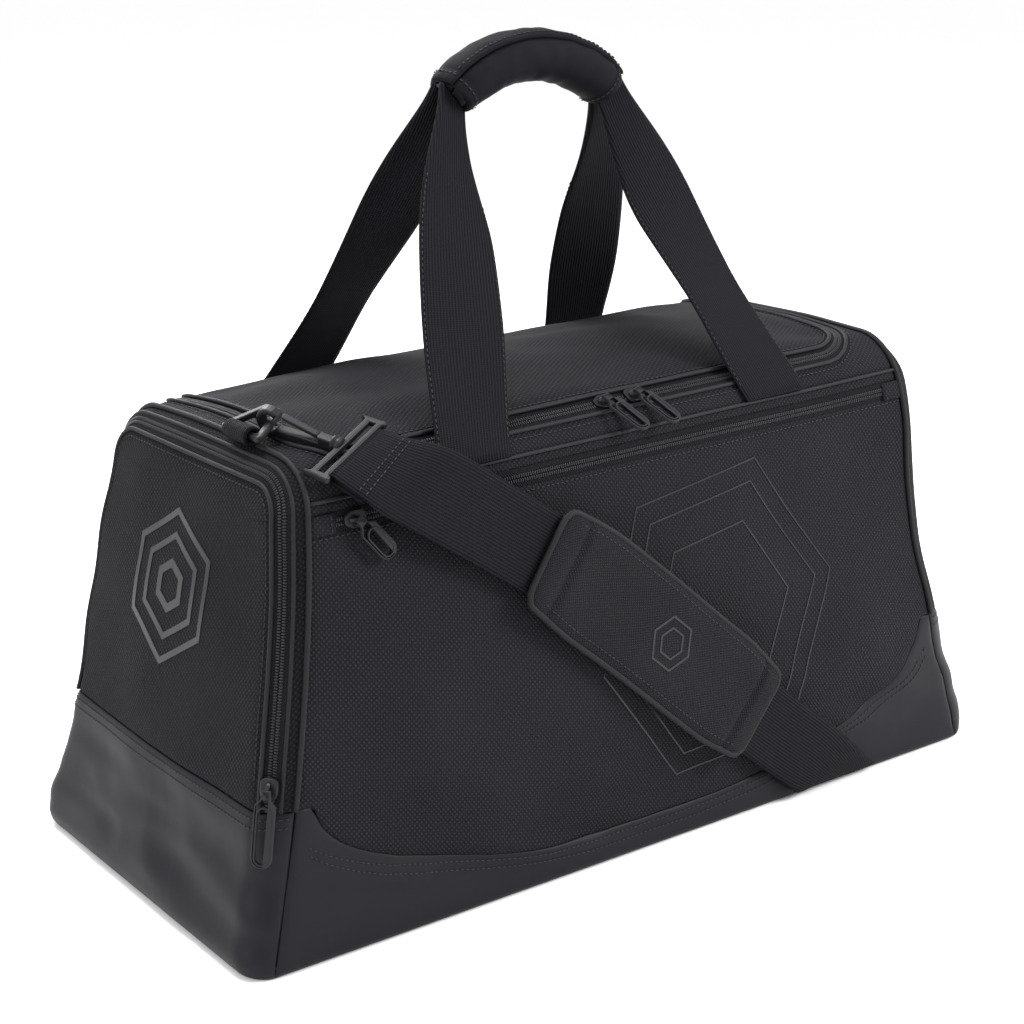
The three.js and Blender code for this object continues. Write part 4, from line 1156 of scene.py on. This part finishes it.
def fold_at_hinge(piece):
    """The flap's thickness is made part of its mesh, and the piece is taken off its moving body, so it stays
    in place above the foot band.
    """
    depsgraph = bpy.context.evaluated_depsgraph_get()
    whole = bpy.data.meshes.new_from_object(piece.evaluated_get(depsgraph))
    piece.modifiers.clear()
    piece.data = whole
    piece.parent = None
    del piece["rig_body"]
    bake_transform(piece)


class HOLDALL_OT_ends(bpy.types.Operator):
    """End panels, the zipped flap, piping and the mesh pocket"""
    bl_idname = "holdall.ends"
    bl_label = "Ends"

    def execute(self, context):
        low = BAND_CORNER_Z + 0.0006

        def field(side, inset, name, node, body):
            rows, uvs = [], []
            top = TOP_Z - inset
            for b in outline_steps(64, top - low):
                z = low + (top - low) * b
                reach = half_depth(z, inset)
                row, cloth = [], []
                for k in range(61):
                    y = reach * math.sin(math.pi / 2 * (k / 30 - 1)) if b > 0.9 else reach * (k / 30 - 1)
                    near = min(reach - abs(y), z - low, top - z)
                    row.append(end(side, y, z, -0.0011 * math.exp(-max(0, near) / 0.0016)))
                    cloth.append((y, z))
                rows.append(row)
                uvs.append(cloth)
            # The end cloth is the woven polyester coloured darker: painted shade.
            piece = cloth_panel(name, rows, uvs, finish_for("woven_shaded_end"), body, (side, 0, 0), PANEL)
            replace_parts(piece, node)
            return piece

        def border(side, from_t, to_t, name, node):
            steps = [from_t + (to_t - from_t) * k / 8 for k in range(9)]
            rows = [round_arch(lambda u: wrap(side, u, t)) for t in steps]
            uvs = [round_arch(lambda u: (t, u)) for t in steps]
            # The corner strips take the same darker end colour: painted shade.
            piece = cloth_panel(name, rows, uvs, finish_for("woven_shaded_end"), "bag", (side, 0, 0), 0.0016)
            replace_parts(piece, node)

        def pipe(side, t, radius, name, body, out=0.0006):
            line = round_arch(lambda u: wrap(side, u, t, out))
            ways = round_arch(lambda u: wrap_out(side, u, t))
            return sweep(name, run_of(line, lambda k: ways[k]), ring_outline(radius, 10),
                         finish_for("binding"), body)

        field(1, CORNER, "right_end_cloth", "right_end_panel", "bag")
        border(1, -SEAM_T, CORNER_T, "right_end_border", "right_end_panel")
        fold_at_hinge(field(-1, FLAP_INSET, "end_flap_cloth", "end_flap", "end_flap"))
        border(-1, -SEAM_T, END_ZIP_T - ZIP_HALF - 0.0004, "left_end_strip", "left_end_edge")
        radius = settings().piping_radius
        for side, name in ((-1, "left"), (1, "right")):
            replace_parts(pipe(side, -SEAM_T, radius, f"{name}_corner_piping", "bag", 0.0009),
                        f"{name}_end_piping")
        pipe(-1, END_ZIP_T - ZIP_HALF - 0.0006, 0.0013, "end_zip_welt", "bag")
        fold_at_hinge(pipe(-1, FLAP_T, 0.0013, "end_flap_piping", "end_flap"))
        row = round_arch(lambda u: (wrap(-1, u, FLAP_T + 0.0040, 0.0003), wrap_out(-1, u, FLAP_T)))
        stitch_row("end_flap", [(p, way) for p, way in row if p.z > 0.103])
        hexagon_mark("end_mark", lambda a, b, o: end(-1, a, b, o + 0.0001), (0.002, 0.186), (0.043, 0.029),
                     0.0042, "end_flap", 0.5)
        hexagon_mark("end_mark_core", lambda a, b, o: end(-1, a, b, o + 0.0001), (0.002, 0.186), (0.013,),
                     0.0055, "end_flap", 0.5)
        self.mesh_pocket()
        return {"FINISHED"}

    @staticmethod
    def mesh_pocket():
        """Open hexagonal netting, bound along its mouth."""
        pitch = 0.0052
        low, high = 0.100, 0.202
        rows = int((high - low) / (pitch * 0.866))

        def reach_at(z):
            return half_depth(z) - CORNER - 0.003

        def spot(y, z, out=0.0):
            a = (y / reach_at(z) + 1) / 2
            rise = (z - low) / (high - low)
            off = 0.0012 + 0.009 * max(0.0, math.sin(math.pi * max(0, min(1, a)))) ** 0.6 * rise
            p = end(1, y, z, off + out)
            return p

        vertices, faces = [], []
        for j in range(rows):
            z = low + (j + 0.5) * (high - low) / rows
            reach = reach_at(z) - pitch / 2
            columns = int(2 * reach / pitch)
            for i in range(columns):
                y = -reach + (i + 0.5 + 0.5 * (j % 2)) * 2 * reach / columns
                if abs(y) > reach:
                    continue
                first = len(vertices)
                for k in range(6):
                    turn = math.pi / 6 + k * math.pi / 3
                    for size in (0.577, 0.40):
                        vertices.append(spot(y + pitch * size * math.cos(turn),
                                             z + pitch * size * math.sin(turn)))
                for k in range(6):
                    a, b = first + 2 * k, first + 2 * ((k + 1) % 6)
                    faces.append((a, b, b + 1, a + 1))
        faces = facing(vertices, faces, (1, 0, 0))
        net = new_piece("mesh_pocket_netting", vertices, faces, finish_for("mesh"), "bag", None)
        wall = net.modifiers.new("thickness", "SOLIDIFY")
        wall.thickness = 0.0006
        wall.offset = 0
        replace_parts(net, "mesh_pocket")
        reach = reach_at(high)
        mouth = [spot(-reach + 2 * reach * k / 60, high + 0.001) for k in range(61)]
        sweep("mesh_pocket_binding", run_of(mouth, (1, 0, 0)), flat_outline(0.010, 0.0016, 8),
              finish_for("binding"), "bag")


# ---- zips ----
def make_zip(name, line, node, body="bag"):
    """line is a list of (point, way out): a tape with a coil of small ridges along it."""
    points = [p for p, _ in line]
    outs = [o for _, o in line]
    stations = run_of(points, lambda k: outs[k])
    tape = sweep(f"{name}_tape", stations, flat_outline(2 * ZIP_HALF + 0.003, 0.0010, 8),
                 finish_for("tape"), body)
    if node:
        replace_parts(tape, node)
    pitch = settings().coil_pitch
    items = []
    for k, (p, along, out) in enumerate(even_points(line, pitch)):
        across = out.cross(along).normalized()
        for side in (-1, 1):
            items.append((p + across * (side * 0.00135) + along * (pitch / 4 * side) + out * 0.0006, across,
                          out))
    gather("coil", body, items)


class HOLDALL_OT_zips(bpy.types.Operator):
    """Coil zips of the lid, the front pocket and the end pocket"""
    bl_idname = "holdall.zips"
    bl_label = "Zips"

    def execute(self, context):
        line = []
        for x, y in lid_edge(0.0):
            p = on_top(x, y, -0.0004)
            lean = smooth(-0.07, -0.09, y)
            line.append((p, Vector((0, -0.55 * lean, 1 - 0.2 * lean)).normalized()))
        make_zip("main_zip", line, "main_zip_chain")
        u = length_at_height(POCKET_ZIP_Z)
        reach = POCKET_ZIP_REACH
        line = [(skin(-reach + 2 * reach * k / 120, u, -0.0006), Vector((0, -0.99, 0.13)))
                for k in range(121)]
        make_zip("pocket_zip", line, "pocket_zip_chain")
        line = round_arch(lambda u: (wrap(-1, u, END_ZIP_T, -0.0004), wrap_out(-1, u, END_ZIP_T)), 120)
        make_zip("end_zip", line, "end_zip_chain")
        for side, name in ((-1, "left"), (1, "right")):
            rows, uvs = [], []
            for z in (POCKET_ZIP_Z - ZIP_HALF - 0.001, POCKET_ZIP_Z, POCKET_ZIP_Z + ZIP_HALF + 0.001):
                xs = [side * (0.209 + k * (seam_x(z) - 0.209) / 6) for k in range(7)]
                rows.append([skin(x, length_at_height(z), 0.0012) for x in xs])
                uvs.append([(x, z) for x in xs])
            tab = cloth_panel(f"zip_end_cover_{name}", rows, uvs, finish_for("woven"), "bag", (0, -1, 0),
                              0.0016)
            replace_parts(tab, f"pocket_zip_end_tab_{name}")
            edge = [(skin(side * POCKET_ZIP_REACH, length_at_height(z), 0.0016), Vector((0, -1, 0)))
                    for z in (0.2345, 0.240, 0.2455)]
            stitch_row("bag", edge)
        return {"FINISHED"}


# ---- hardware ----
def plate(name, outline, holes, thickness, origin, x_axis, y_axis, material, body, bevel=0.0008):
    """A flat moulding: an outline with holes, given a thickness and rounded edges."""
    curve = bpy.data.curves.new(name, "CURVE")
    curve.dimensions = "2D"
    curve.fill_mode = "BOTH"
    curve.extrude = thickness / 2 - bevel
    curve.bevel_depth = bevel
    curve.bevel_resolution = 2
    curve.offset = -bevel
    for points in (outline, *holes):
        spline = curve.splines.new("POLY")
        spline.points.add(len(points) - 1)
        for point, (x, y) in zip(spline.points, points):
            point.co = (x, y, 0, 1)
        spline.use_cyclic_u = True
    flat = bpy.data.objects.new(name + "_flat", curve)
    bpy.context.scene.collection.objects.link(flat)
    mesh = bpy.data.meshes.new_from_object(flat.evaluated_get(bpy.context.evaluated_depsgraph_get()))
    bpy.data.objects.remove(flat)
    z_axis = x_axis.cross(y_axis).normalized()
    turn = Matrix((x_axis, y_axis, z_axis)).transposed().to_4x4()
    mesh.transform(Matrix.Translation(origin) @ turn)
    mesh.name = name
    mesh.materials.clear()
    mesh.materials.append(material)
    for polygon in mesh.polygons:
        polygon.use_smooth = False
    piece = bpy.data.objects.new(name, mesh)
    bpy.context.scene.collection.objects.link(piece)
    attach(piece, body)
    return piece


def arc(cx, cy, r, start, stop, steps=10):
    return [(cx + r * math.cos(start + (stop - start) * k / steps),
             cy + r * math.sin(start + (stop - start) * k / steps))
            for k in range(steps + 1)]


def rounded(points, r, steps=5):
    """The outline with each corner turned through a short curve."""
    result = []
    for k, p in enumerate(points):
        before, after = Vector(points[k - 1]), Vector(points[(k + 1) % len(points)])
        here = Vector(p)
        a = here + (before - here).normalized() * min(r, (before - here).length / 2.1)
        b = here + (after - here).normalized() * min(r, (after - here).length / 2.1)
        for j in range(steps + 1):
            t = j / steps
            q = a * (1 - t) ** 2 + here * 2 * t * (1 - t) + b * t * t
            result.append((q.x, q.y))
    return result


def millimetres(points):
    return [(x * MM, y * MM) for x, y in points]


def zip_head(name, origin, along, out, pull_way, length, width):
    """A slider and its rubber pull. along is the zip's line and pull_way where the pull lies."""
    across = along.cross(out).normalized()
    slider_body = name + "_slider"
    body = rounded(millimetres([(-7, -2.2), (-2, -5), (5, -5), (7, -3), (7, 3), (5, 5), (-2, 5),
                                (-7, 2.2)]), 0.0012, 3)
    base = plate(name + "_slider_wings", body, [], 0.0026, origin + out * 0.0016, along, -across,
                 finish_for("metal"), slider_body, 0.0006)
    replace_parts(base, name + "_slider")
    bridge = [*arc(0, 0, 0.0046, math.pi, 0, 10), *arc(0, 0, 0.0032, 0, math.pi, 10)]
    bridge = [(x, z * 0.72) for x, z in bridge]
    plate(name + "_slider_bridge", bridge, [], 0.0022, origin + out * 0.0028, along, out,
          finish_for("metal"), slider_body, 0.0004)
    lie = (pull_way - out * pull_way.dot(out)).normalized()
    side = lie.cross(out).normalized()
    r = width / 2
    outline = [(-0.0012, -0.0024), (0.0040, -0.0028), (0.0075, -r),
               *arc(length - r, 0, r, -math.pi / 2, math.pi / 2, 14), (0.0075, r), (0.0040,
                       0.0028), (-0.0012, 0.0024)]
    eye = [(0.0030, -0.0013), (0.0030, 0.0013), (0.0006, 0.0013), (0.0006, -0.0013)]
    hinge = origin + out * 0.0066
    pull = plate(name + "_pull_tab", outline, [eye], 0.0026, hinge, lie, -side, finish_for("rubber"),
                 name + "_pull", 0.0007)
    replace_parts(pull, name + "_pull")
    inset = r - 0.0014
    ring = [*arc(length - r, 0, inset, -math.pi / 2, math.pi / 2, 12),
            *arc(0.0125, 0, inset, math.pi / 2, 1.5 * math.pi, 12)]
    inner = inset - 0.0009
    hole = [*arc(length - r, 0, inner, -math.pi / 2, math.pi / 2, 12),
            *arc(0.0125, 0, inner, math.pi / 2, 1.5 * math.pi, 12)]
    plate(name + "_pull_rim", ring, [hole], 0.0032, hinge, lie, -side, finish_for("rubber"), name + "_pull",
          0.0002)


class HOLDALL_OT_sliders(bpy.types.Operator):
    """Zip sliders with their rubber pulls"""
    bl_idname = "holdall.sliders"
    bl_label = "Sliders"

    def execute(self, context):
        for name, length, width in (("main_zip_left", 0.032, 0.012), ("main_zip_right", 0.032, 0.012),
                                    ("pocket_zip", 0.030, 0.012), ("end_zip", 0.042, 0.012)):
            origin, along, out, way = head_frame(name)
            zip_head(name, origin, along, out, way, length, width)
        return {"FINISHED"}


def coil_on_lid(x):
    turn = math.acos(math.cos(LEAN) - (SHOULDER_HALF_DEPTH + LID_FRONT_Y) / SHOULDER_RADIUS)
    return Vector((x, LID_FRONT_Y, (TURN_Z + SHOULDER_RADIUS * math.sin(turn)) * lift(x)))


def on_side_plain(s, z, gap):
    """The same point of the front as the frame has it, without the cloth's slack."""
    x = s * (half_length(z) - gap)
    swell = BULGE * (1 - s * s) * math.sin(math.pi * z / SHOULDER_Z)
    return Vector((x, -half_depth(z) - swell, z * lift(x)))


def head_frame(name):
    """Where a slider sits: its place, the zip's line, the way out and where the pull lies."""
    if name.startswith("main_zip"):
        along = (coil_on_lid(0.05) - coil_on_lid(-0.05)).normalized()
        out = Vector((0, -0.55, 0.835)).normalized()
        out = (out - along * out.dot(along)).normalized()
        left = name.endswith("left")
        place = coil_on_lid(-0.012 if left else 0.012)
        return place, along if left else -along, out, Vector((0.35, -0.78, -0.51))
    if name == "pocket_zip":
        at = on_side_plain(-0.84, POCKET_ZIP_Z, 0.0036)
        along = (on_side_plain(-0.6, POCKET_ZIP_Z, 0.0036) - at).normalized()
        out = Vector((0, -math.cos(LEAN), math.sin(LEAN)))
        out = (out - along * out.dot(along)).normalized()
        return at, along, out, Vector((0.62, 0, -0.78))
    foot, above = (wrap(-1, length_at_height(z), END_ZIP_T) for z in (0.104, 0.130))
    along = (above - foot).normalized()
    out = wrap_out(-1, length_at_height(0.104), END_ZIP_T)
    out = (out - along * out.dot(along)).normalized()
    return foot + out * 0.0009, along, out, -along


class HOLDALL_OT_clips(bpy.types.Operator):
    """Rings, snap hooks and webbing tabs at both ends of the shoulder strap"""
    bl_idname = "holdall.clips"
    bl_label = "Clips"

    def execute(self, context):
        left_ring = Vector((-226, -38, 279.6)) * MM
        left_way = Vector((math.cos(0.44), 0, math.sin(0.44)))
        left_bend = left_ring + left_way * 0.015 + Vector((0, -0.0094, 0))
        self.strap_end("left", left_ring, left_way, Vector((0, 1, 0)), left_bend,
                       Vector((-191.3, -88.6, 275.8)) * MM, Vector((0.88, 0.37, 0.3)))
        right_ring = Vector((245.5, -25, 259)) * MM
        right_way = Vector((0.33, 0, -0.944)).normalized()
        self.strap_end("right", right_ring, right_way, Vector((0, -1, 0)), right_ring + right_way * 0.022,
                       Vector((263, -25.5, 198)) * MM, Vector((0, -1, 0)))
        return {"FINISHED"}

    def strap_end(self, name, ring_at, ring_way, ring_side, bend_at, bar_at, bar_side):
        plastic = finish_for("plastic")
        ring = rounded(millimetres([(-2, -20), (2, -20), (24, -8), (24, 8), (2, 20), (-2, 20)]), 0.0025)
        hole = rounded(millimetres([(2, -15), (20, -5.5), (20, 5.5), (2, 15)]), 0.002)
        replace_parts(plate(f"{name}_loop", ring, [hole], 0.0036, ring_at, ring_way, ring_side, plastic,
                          f"{name}_ring", 0.0009), f"{name}_ring")
        loop = [(5.6 * MM * math.cos(t), 5.6 * MM * math.sin(t))
                for t in [k * math.pi / 12 for k in range(24)]]
        inner = [(3.6 * MM * math.cos(t), 3.6 * MM * math.sin(t))
                 for t in [k * math.pi / 12 for k in range(24)]]
        up = ring_way.cross(ring_side)
        tab = self.tube_of_webbing(f"{name}_tab_webbing", loop, inner, 0.024, ring_at, ring_way, up,
                                   ring_side)
        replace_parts(tab, f"{name}_ring_tab")
        hook_way = (bar_at - bend_at).normalized()
        flat = (bar_side - hook_way * bar_side.dot(hook_way)).normalized()
        rise = flat.cross(hook_way)
        reach = 40
        hook = [(reach, -3.2), (reach, 3.2), (reach - 8, 4.5), (6, 8.5)]
        hook += arc(0, 0, 8.6, 0.98, 1.72 * math.pi, 18)
        hook += [(3.2, -4.4)] + arc(0, 0, 4.8, 1.72 * math.pi, 0.5, 16) + [(reach - 9, 0.6),
                (reach - 9, -3.2)]
        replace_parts(plate(f"{name}_snap_hook", millimetres(hook), [], 0.0062, bend_at, hook_way, rise,
                          plastic, f"{name}_hook", 0.0012), f"{name}_hook")
        gate = millimetres([(7.5, -7), (8, -4.6), (reach - 9.6, -0.6), (reach - 9.6, -3.4)])
        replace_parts(plate(f"{name}_gate", rounded(gate, 0.0009), [], 0.0042, bend_at, hook_way, rise,
                          plastic, f"{name}_hook_gate", 0.0006), f"{name}_hook_gate")
        collar = [(bend_at + hook_way * (reach + d) * MM, flat, rise, s, s)
                  for d, s in ((-0.4, 0.9), (0.0, 1.1), (1.2, 1.2), (1.8, 1.0), (3.0, 0.95), (4.2, 1.15),
                               (5.0, 1.0))]
        sweep(f"{name}_swivel", collar, ring_outline(0.0046, 14), plastic, "bag")
        middle = bend_at + hook_way * (reach + 7.3) * MM
        bar = rounded(millimetres([(-4, -27), (-8, -29.5), (8, -30.5), (8.5, -27.5), (6.5, -26), (6.5, 26),
                                   (8.5, 27.5), (8, 30.5), (-8, 29.5), (-4, 27)]), 0.0012, 3)
        slot = millimetres([(-0.5, -26), (3.4, -26), (3.4, 26), (-0.5, 26)])
        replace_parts(plate(f"{name}_strap_loop", bar, [slot], 0.0038, middle, hook_way, flat, plastic, "bag",
                          0.0009), f"{name}_strap_bar")

    @staticmethod
    def tube_of_webbing(name, outer, inner, width, origin, way, up, side):
        vertices, faces, uvs = [], [], []
        count = len(outer)
        steps = 8
        for shell in (outer, inner):
            for j in range(steps + 1):
                w = (j / steps - 0.5) * width
                for i, (a, b) in enumerate(shell):
                    vertices.append(origin + way * a + up * b + side * w)
                    uvs.append((w, i * 0.0015))
        size = count * (steps + 1)
        for j in range(steps):
            for i in range(count):
                a, b = j * count + i, j * count + (i + 1) % count
                faces.append((a, b, b + count, a + count))
                faces.append((size + a, size + a + count, size + b + count, size + b))
        for i in range(count):
            a, b = i, (i + 1) % count
            faces.append((a, size + a, size + b, b))
            a, b = steps * count + i, steps * count + (i + 1) % count
            faces.append((a, b, size + b, size + a))
        p = vertices[0] - origin - side * (vertices[0] - origin).dot(side)
        first = normal_of(vertices, faces[0])
        if first.dot(p) < 0:
            faces = [tuple(reversed(f)) for f in faces]
        return new_piece(name, vertices, faces, finish_for("webbing"), "bag", uvs)


# ---- handles ----
def grip_point(turn, radius=GRIP_RADIUS):
    return Vector((radius * math.sin(turn), 0, GRIP_TOP_Z - GRIP_RADIUS + radius * math.cos(turn)))


GRIP_END = math.asin(GRIP_HALF_SPAN / GRIP_RADIUS)


def leg_stations(side, rear, steps=60):
    face = 1 if rear else -1
    foot = Vector((side * HANDLE_X, face * (half_depth(SEAM_Z) + 0.0026), 0))
    foot.z = (SEAM_Z + 0.002) * lift(foot.x)
    turn = side * GRIP_END * 1.03
    top = grip_point(turn * 0.985) + Vector((0, face * 0.0036, 0))
    knee = grip_point(turn) + Vector((side * 0.014, face * (0.018 + 0.0036), -0.056))
    at_grip = Vector((math.cos(turn), 0, -math.sin(turn))).cross(Vector((0, side, 0)))

    def curve(t):
        return foot * (1 - t) ** 2 + knee * 2 * t * (1 - t) + top * t * t

    stations = []
    for k in range(steps + 1):
        t = k / steps
        folding = smooth(0.5, 1, t)
        splay = math.radians(14) * smooth(0.02, 0.3, t)
        low = Vector((math.cos(splay), -side * face * math.sin(splay), 0.03))
        across = low.lerp(at_grip, smooth(0.1, 1, t)).normalized()
        tangent = (curve(min(1, t + 0.01)) - curve(max(0, t - 0.01))).normalized()
        out = across.cross(tangent).normalized()
        stations.append((curve(t), across, out, 1 - 0.5 * folding, 1 + 1.2 * folding))
    return stations


class HOLDALL_OT_handles(bpy.types.Operator):
    """Carry handles of webbing, sewn into the top seams"""
    bl_idname = "holdall.handles"
    bl_label = "Handles"

    def execute(self, context):
        for rear, name in ((False, "front"), (True, "rear")):
            for side, hand in ((-1, "left"), (1, "right")):
                stations = leg_stations(side, rear)
                outline = flat_outline(WEBBING, 0.0021, 16)
                leg = sweep(f"{name}_handle_webbing_{hand}", stations, outline, finish_for("webbing"),
                            f"{name}_handle")
                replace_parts(leg, f"{name}_handle_leg_{hand}")
                outward = Vector((0, 1 if rear else -1, 0))
                for edge in (-0.0235, 0.0235):
                    line = []
                    for k in range(2, 40):
                        p, across, out, wide, thick = stations[k]
                        face = out if out.dot(outward) > 0 else -out
                        line.append((p + across * edge * wide + face * (0.00105 * thick), face))
                    stitch_row(f"{name}_handle", line)
        self.grip()
        return {"FINISHED"}

    @staticmethod
    def grip():
        """The wrap round both handles: a lower half, and the flap that closes over it."""
        steps = 72
        for upper, name, node, body in ((False, "grip_wrap_under", "grip_wrap_lower", "front_handle"),
                                        (True, "grip_wrap_over", "grip_wrap_flap", "rear_handle")):
            start = -math.pi / 4 if upper else math.pi * 0.75
            rows, uvs = [], []
            for k in range(steps + 1):
                t = k / steps
                turn = -GRIP_END + 2 * GRIP_END * t
                away = min(t, 1 - t) * 2 * GRIP_END * GRIP_RADIUS
                hem = -0.0008 * math.exp(-((away - 0.0075) / 0.0012) ** 2) - 0.0016 * math.exp(-away / 0.0015)
                pinch = -0.0012 * smooth(0.022, 0.0, away)
                row, cloth = [], []
                for i in range(33):
                    a = start + 0.03 + (math.pi - 0.06) * i / 32
                    near = min(i, 32 - i) / 32 * math.pi * 0.017
                    lap = 0.0011 * smooth(0.012, 0.002, near) if upper else -0.0006 * smooth(0.008, 0.0,
                            near)
                    ripple = 0.0007 * noise.noise(Vector((turn * 11, math.cos(a) * 1.4, math.sin(a) * 1.4)))
                    grow = hem + pinch + lap + ripple
                    y, r = (0.0185 + grow) * math.cos(a), (0.0155 + grow) * math.sin(a)
                    row.append(grip_point(turn, GRIP_RADIUS + r) + Vector((0, y, 0)))
                    cloth.append((turn * GRIP_RADIUS, a * 0.017))
                rows.append(row)
                uvs.append(cloth)
            middle = rows[steps // 2]
            way = middle[16] - grip_point(0)
            piece = cloth_panel(name, rows, uvs, finish_for("neoprene"), body, way, 0.0045)
            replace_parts(piece, node)
            for place in (0.0055, -0.0055):
                t = place / (2 * GRIP_END * GRIP_RADIUS) % 1
                k = round(t * steps)
                ring = [(p, (p - grip_point(-GRIP_END + 2 * GRIP_END * k / steps)).normalized())
                        for p in rows[k]]
                stitch_row(body, [(p + o * 0.0004, o) for p, o in ring])
            if upper:
                edge = []
                for k in range(3, steps - 2):
                    p, centre = rows[k][30], grip_point(-GRIP_END + 2 * GRIP_END * k / steps)
                    edge.append((p + (p - centre).normalized() * 0.0003, (p - centre).normalized()))
                stitch_row(body, edge)


# ---- stitches and coils as one repeated shape each ----
def repeat_tree():
    """Points become small rounded bars, laid along their own direction."""
    tree = bpy.data.node_groups.new("repeated bars", "GeometryNodeTree")
    tree.is_modifier = True
    add = tree.interface.new_socket
    add("Geometry", in_out="INPUT", socket_type="NodeSocketGeometry")
    for name in ("Length", "Width", "Height"):
        add(name, in_out="INPUT", socket_type="NodeSocketFloat")
    add("Material", in_out="INPUT", socket_type="NodeSocketMaterial")
    add("Geometry", in_out="OUTPUT", socket_type="NodeSocketGeometry")
    given = add_node(tree, "NodeGroupInput").outputs
    along = add_node(tree, "GeometryNodeInputNamedAttribute", {0: "along"},
                     data_type="FLOAT_VECTOR").outputs[0]
    out = add_node(tree, "GeometryNodeInputNamedAttribute", {0: "out"}, data_type="FLOAT_VECTOR").outputs[0]
    first = add_node(tree, "FunctionNodeAlignRotationToVector", {"Vector": along}, axis="X").outputs[0]
    turned = add_node(tree, "FunctionNodeAlignRotationToVector", {"Rotation": first, "Vector": out},
                      axis="Z", pivot_axis="X").outputs[0]
    size = add_node(tree, "ShaderNodeCombineXYZ",
                    {0: given["Length"], 1: given["Width"], 2: given["Height"]}).outputs[0]
    bar = add_node(tree, "GeometryNodeMeshUVSphere", {"Segments": 6, "Rings": 5, "Radius": 0.5}).outputs[0]
    placed = add_node(tree, "GeometryNodeInstanceOnPoints",
                      {"Points": given["Geometry"], "Instance": bar, "Rotation": turned,
                       "Scale": size}).outputs[0]
    real = add_node(tree, "GeometryNodeRealizeInstances", {0: placed}).outputs[0]
    soft = add_node(tree, "GeometryNodeSetShadeSmooth", {0: real}).outputs[0]
    done = add_node(tree, "GeometryNodeSetMaterial",
                    {"Geometry": soft, "Material": given["Material"]}).outputs[0]
    add_node(tree, "NodeGroupOutput", {0: done})
    return tree


class HOLDALL_OT_stitching(bpy.types.Operator):
    """All stitches and zip coils, gathered while the pieces were made"""
    bl_idname = "holdall.stitching"
    bl_label = "Stitches and coils"

    def execute(self, context):
        tree = repeat_tree()
        identifiers = {item.name: item.identifier
                       for item in tree.interface.items_tree if item.in_out == "INPUT"}
        looks = {"stitch": (STITCH_SIZE, "thread", "webbing"), "coil": (COIL_SIZE, "coil", "zip_coil")}
        for (kind, body), items in REPEATS.items():
            sizes, finish, slot = looks[kind]
            mesh = bpy.data.meshes.new("points")
            mesh.from_pydata([tuple(p) for p, _, _ in items], [], [])
            for name, column in (("along", 1), ("out", 2)):
                layer = mesh.attributes.new(name, "FLOAT_VECTOR", "POINT")
                layer.data.foreach_set("vector", [c for item in items for c in item[column]])
            source = bpy.data.objects.new("points", mesh)
            context.scene.collection.objects.link(source)
            made = source.modifiers.new("bars", "NODES")
            made.node_group = tree
            for name, value in zip(("Length", "Width", "Height"), sizes):
                made[identifiers[name]] = value
            made[identifiers["Material"]] = finish_for(finish)
            depsgraph = context.evaluated_depsgraph_get()
            result = bpy.data.meshes.new_from_object(source.evaluated_get(depsgraph))
            bpy.data.objects.remove(source)
            piece = bpy.data.objects.new(f"{kind}_rows_{body}", result)
            context.scene.collection.objects.link(piece)
            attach(piece, body)
        return {"FINISHED"}


class HOLDALL_OT_insides(bpy.types.Operator):
    """Finishes for the pieces that stay as the frame has them: linings, board and cores"""
    bl_idname = "holdall.insides"
    bl_label = "Insides"

    def execute(self, context):
        looks = {"base_board": "board", "front_pocket_lining": "lining",
                 "end_pocket_lining": "lining", "front_handle_core": "board", "rear_handle_core": "board"}
        plain = moulded("thin lining cloth, dyed", settings().lining_colour, 0.8, 0.15)
        for node, finish in looks.items():
            piece = bpy.data.objects[node]
            piece.data.materials.clear()
            piece.data.materials.append(plain if finish == "lining" else finish_for(finish))
        return {"FINISHED"}


OPERATORS = (HOLDALL_OT_stage, HOLDALL_OT_strap, HOLDALL_OT_foot_band, HOLDALL_OT_sides, HOLDALL_OT_top,
             HOLDALL_OT_ends, HOLDALL_OT_zips, HOLDALL_OT_sliders, HOLDALL_OT_clips, HOLDALL_OT_handles,
             HOLDALL_OT_stitching, HOLDALL_OT_insides)


class HOLDALL_PT_panel(bpy.types.Panel):
    """Sizes, colours and the steps that build the holdall"""
    bl_label = "Sports holdall"
    bl_space_type = "VIEW_3D"
    bl_region_type = "UI"
    bl_category = "Holdall"

    def draw(self, context):
        for name in HoldallSettings.__annotations__:
            self.layout.prop(context.scene.holdall, name)
        for operator in OPERATORS:
            self.layout.operator(operator.bl_idname)


def register():
    for cls in (HoldallSettings, *OPERATORS, HOLDALL_PT_panel):
        bpy.utils.register_class(cls)
    bpy.types.Scene.holdall = bpy.props.PointerProperty(type=HoldallSettings)


def unregister():
    del bpy.types.Scene.holdall
    for cls in reversed((HoldallSettings, *OPERATORS, HOLDALL_PT_panel)):
        bpy.utils.unregister_class(cls)


def main():
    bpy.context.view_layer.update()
    register()
    for operator in OPERATORS:
        group, name = operator.bl_idname.split(".")
        getattr(getattr(bpy.ops, group), name)()


if __name__ == "__main__":
    main()
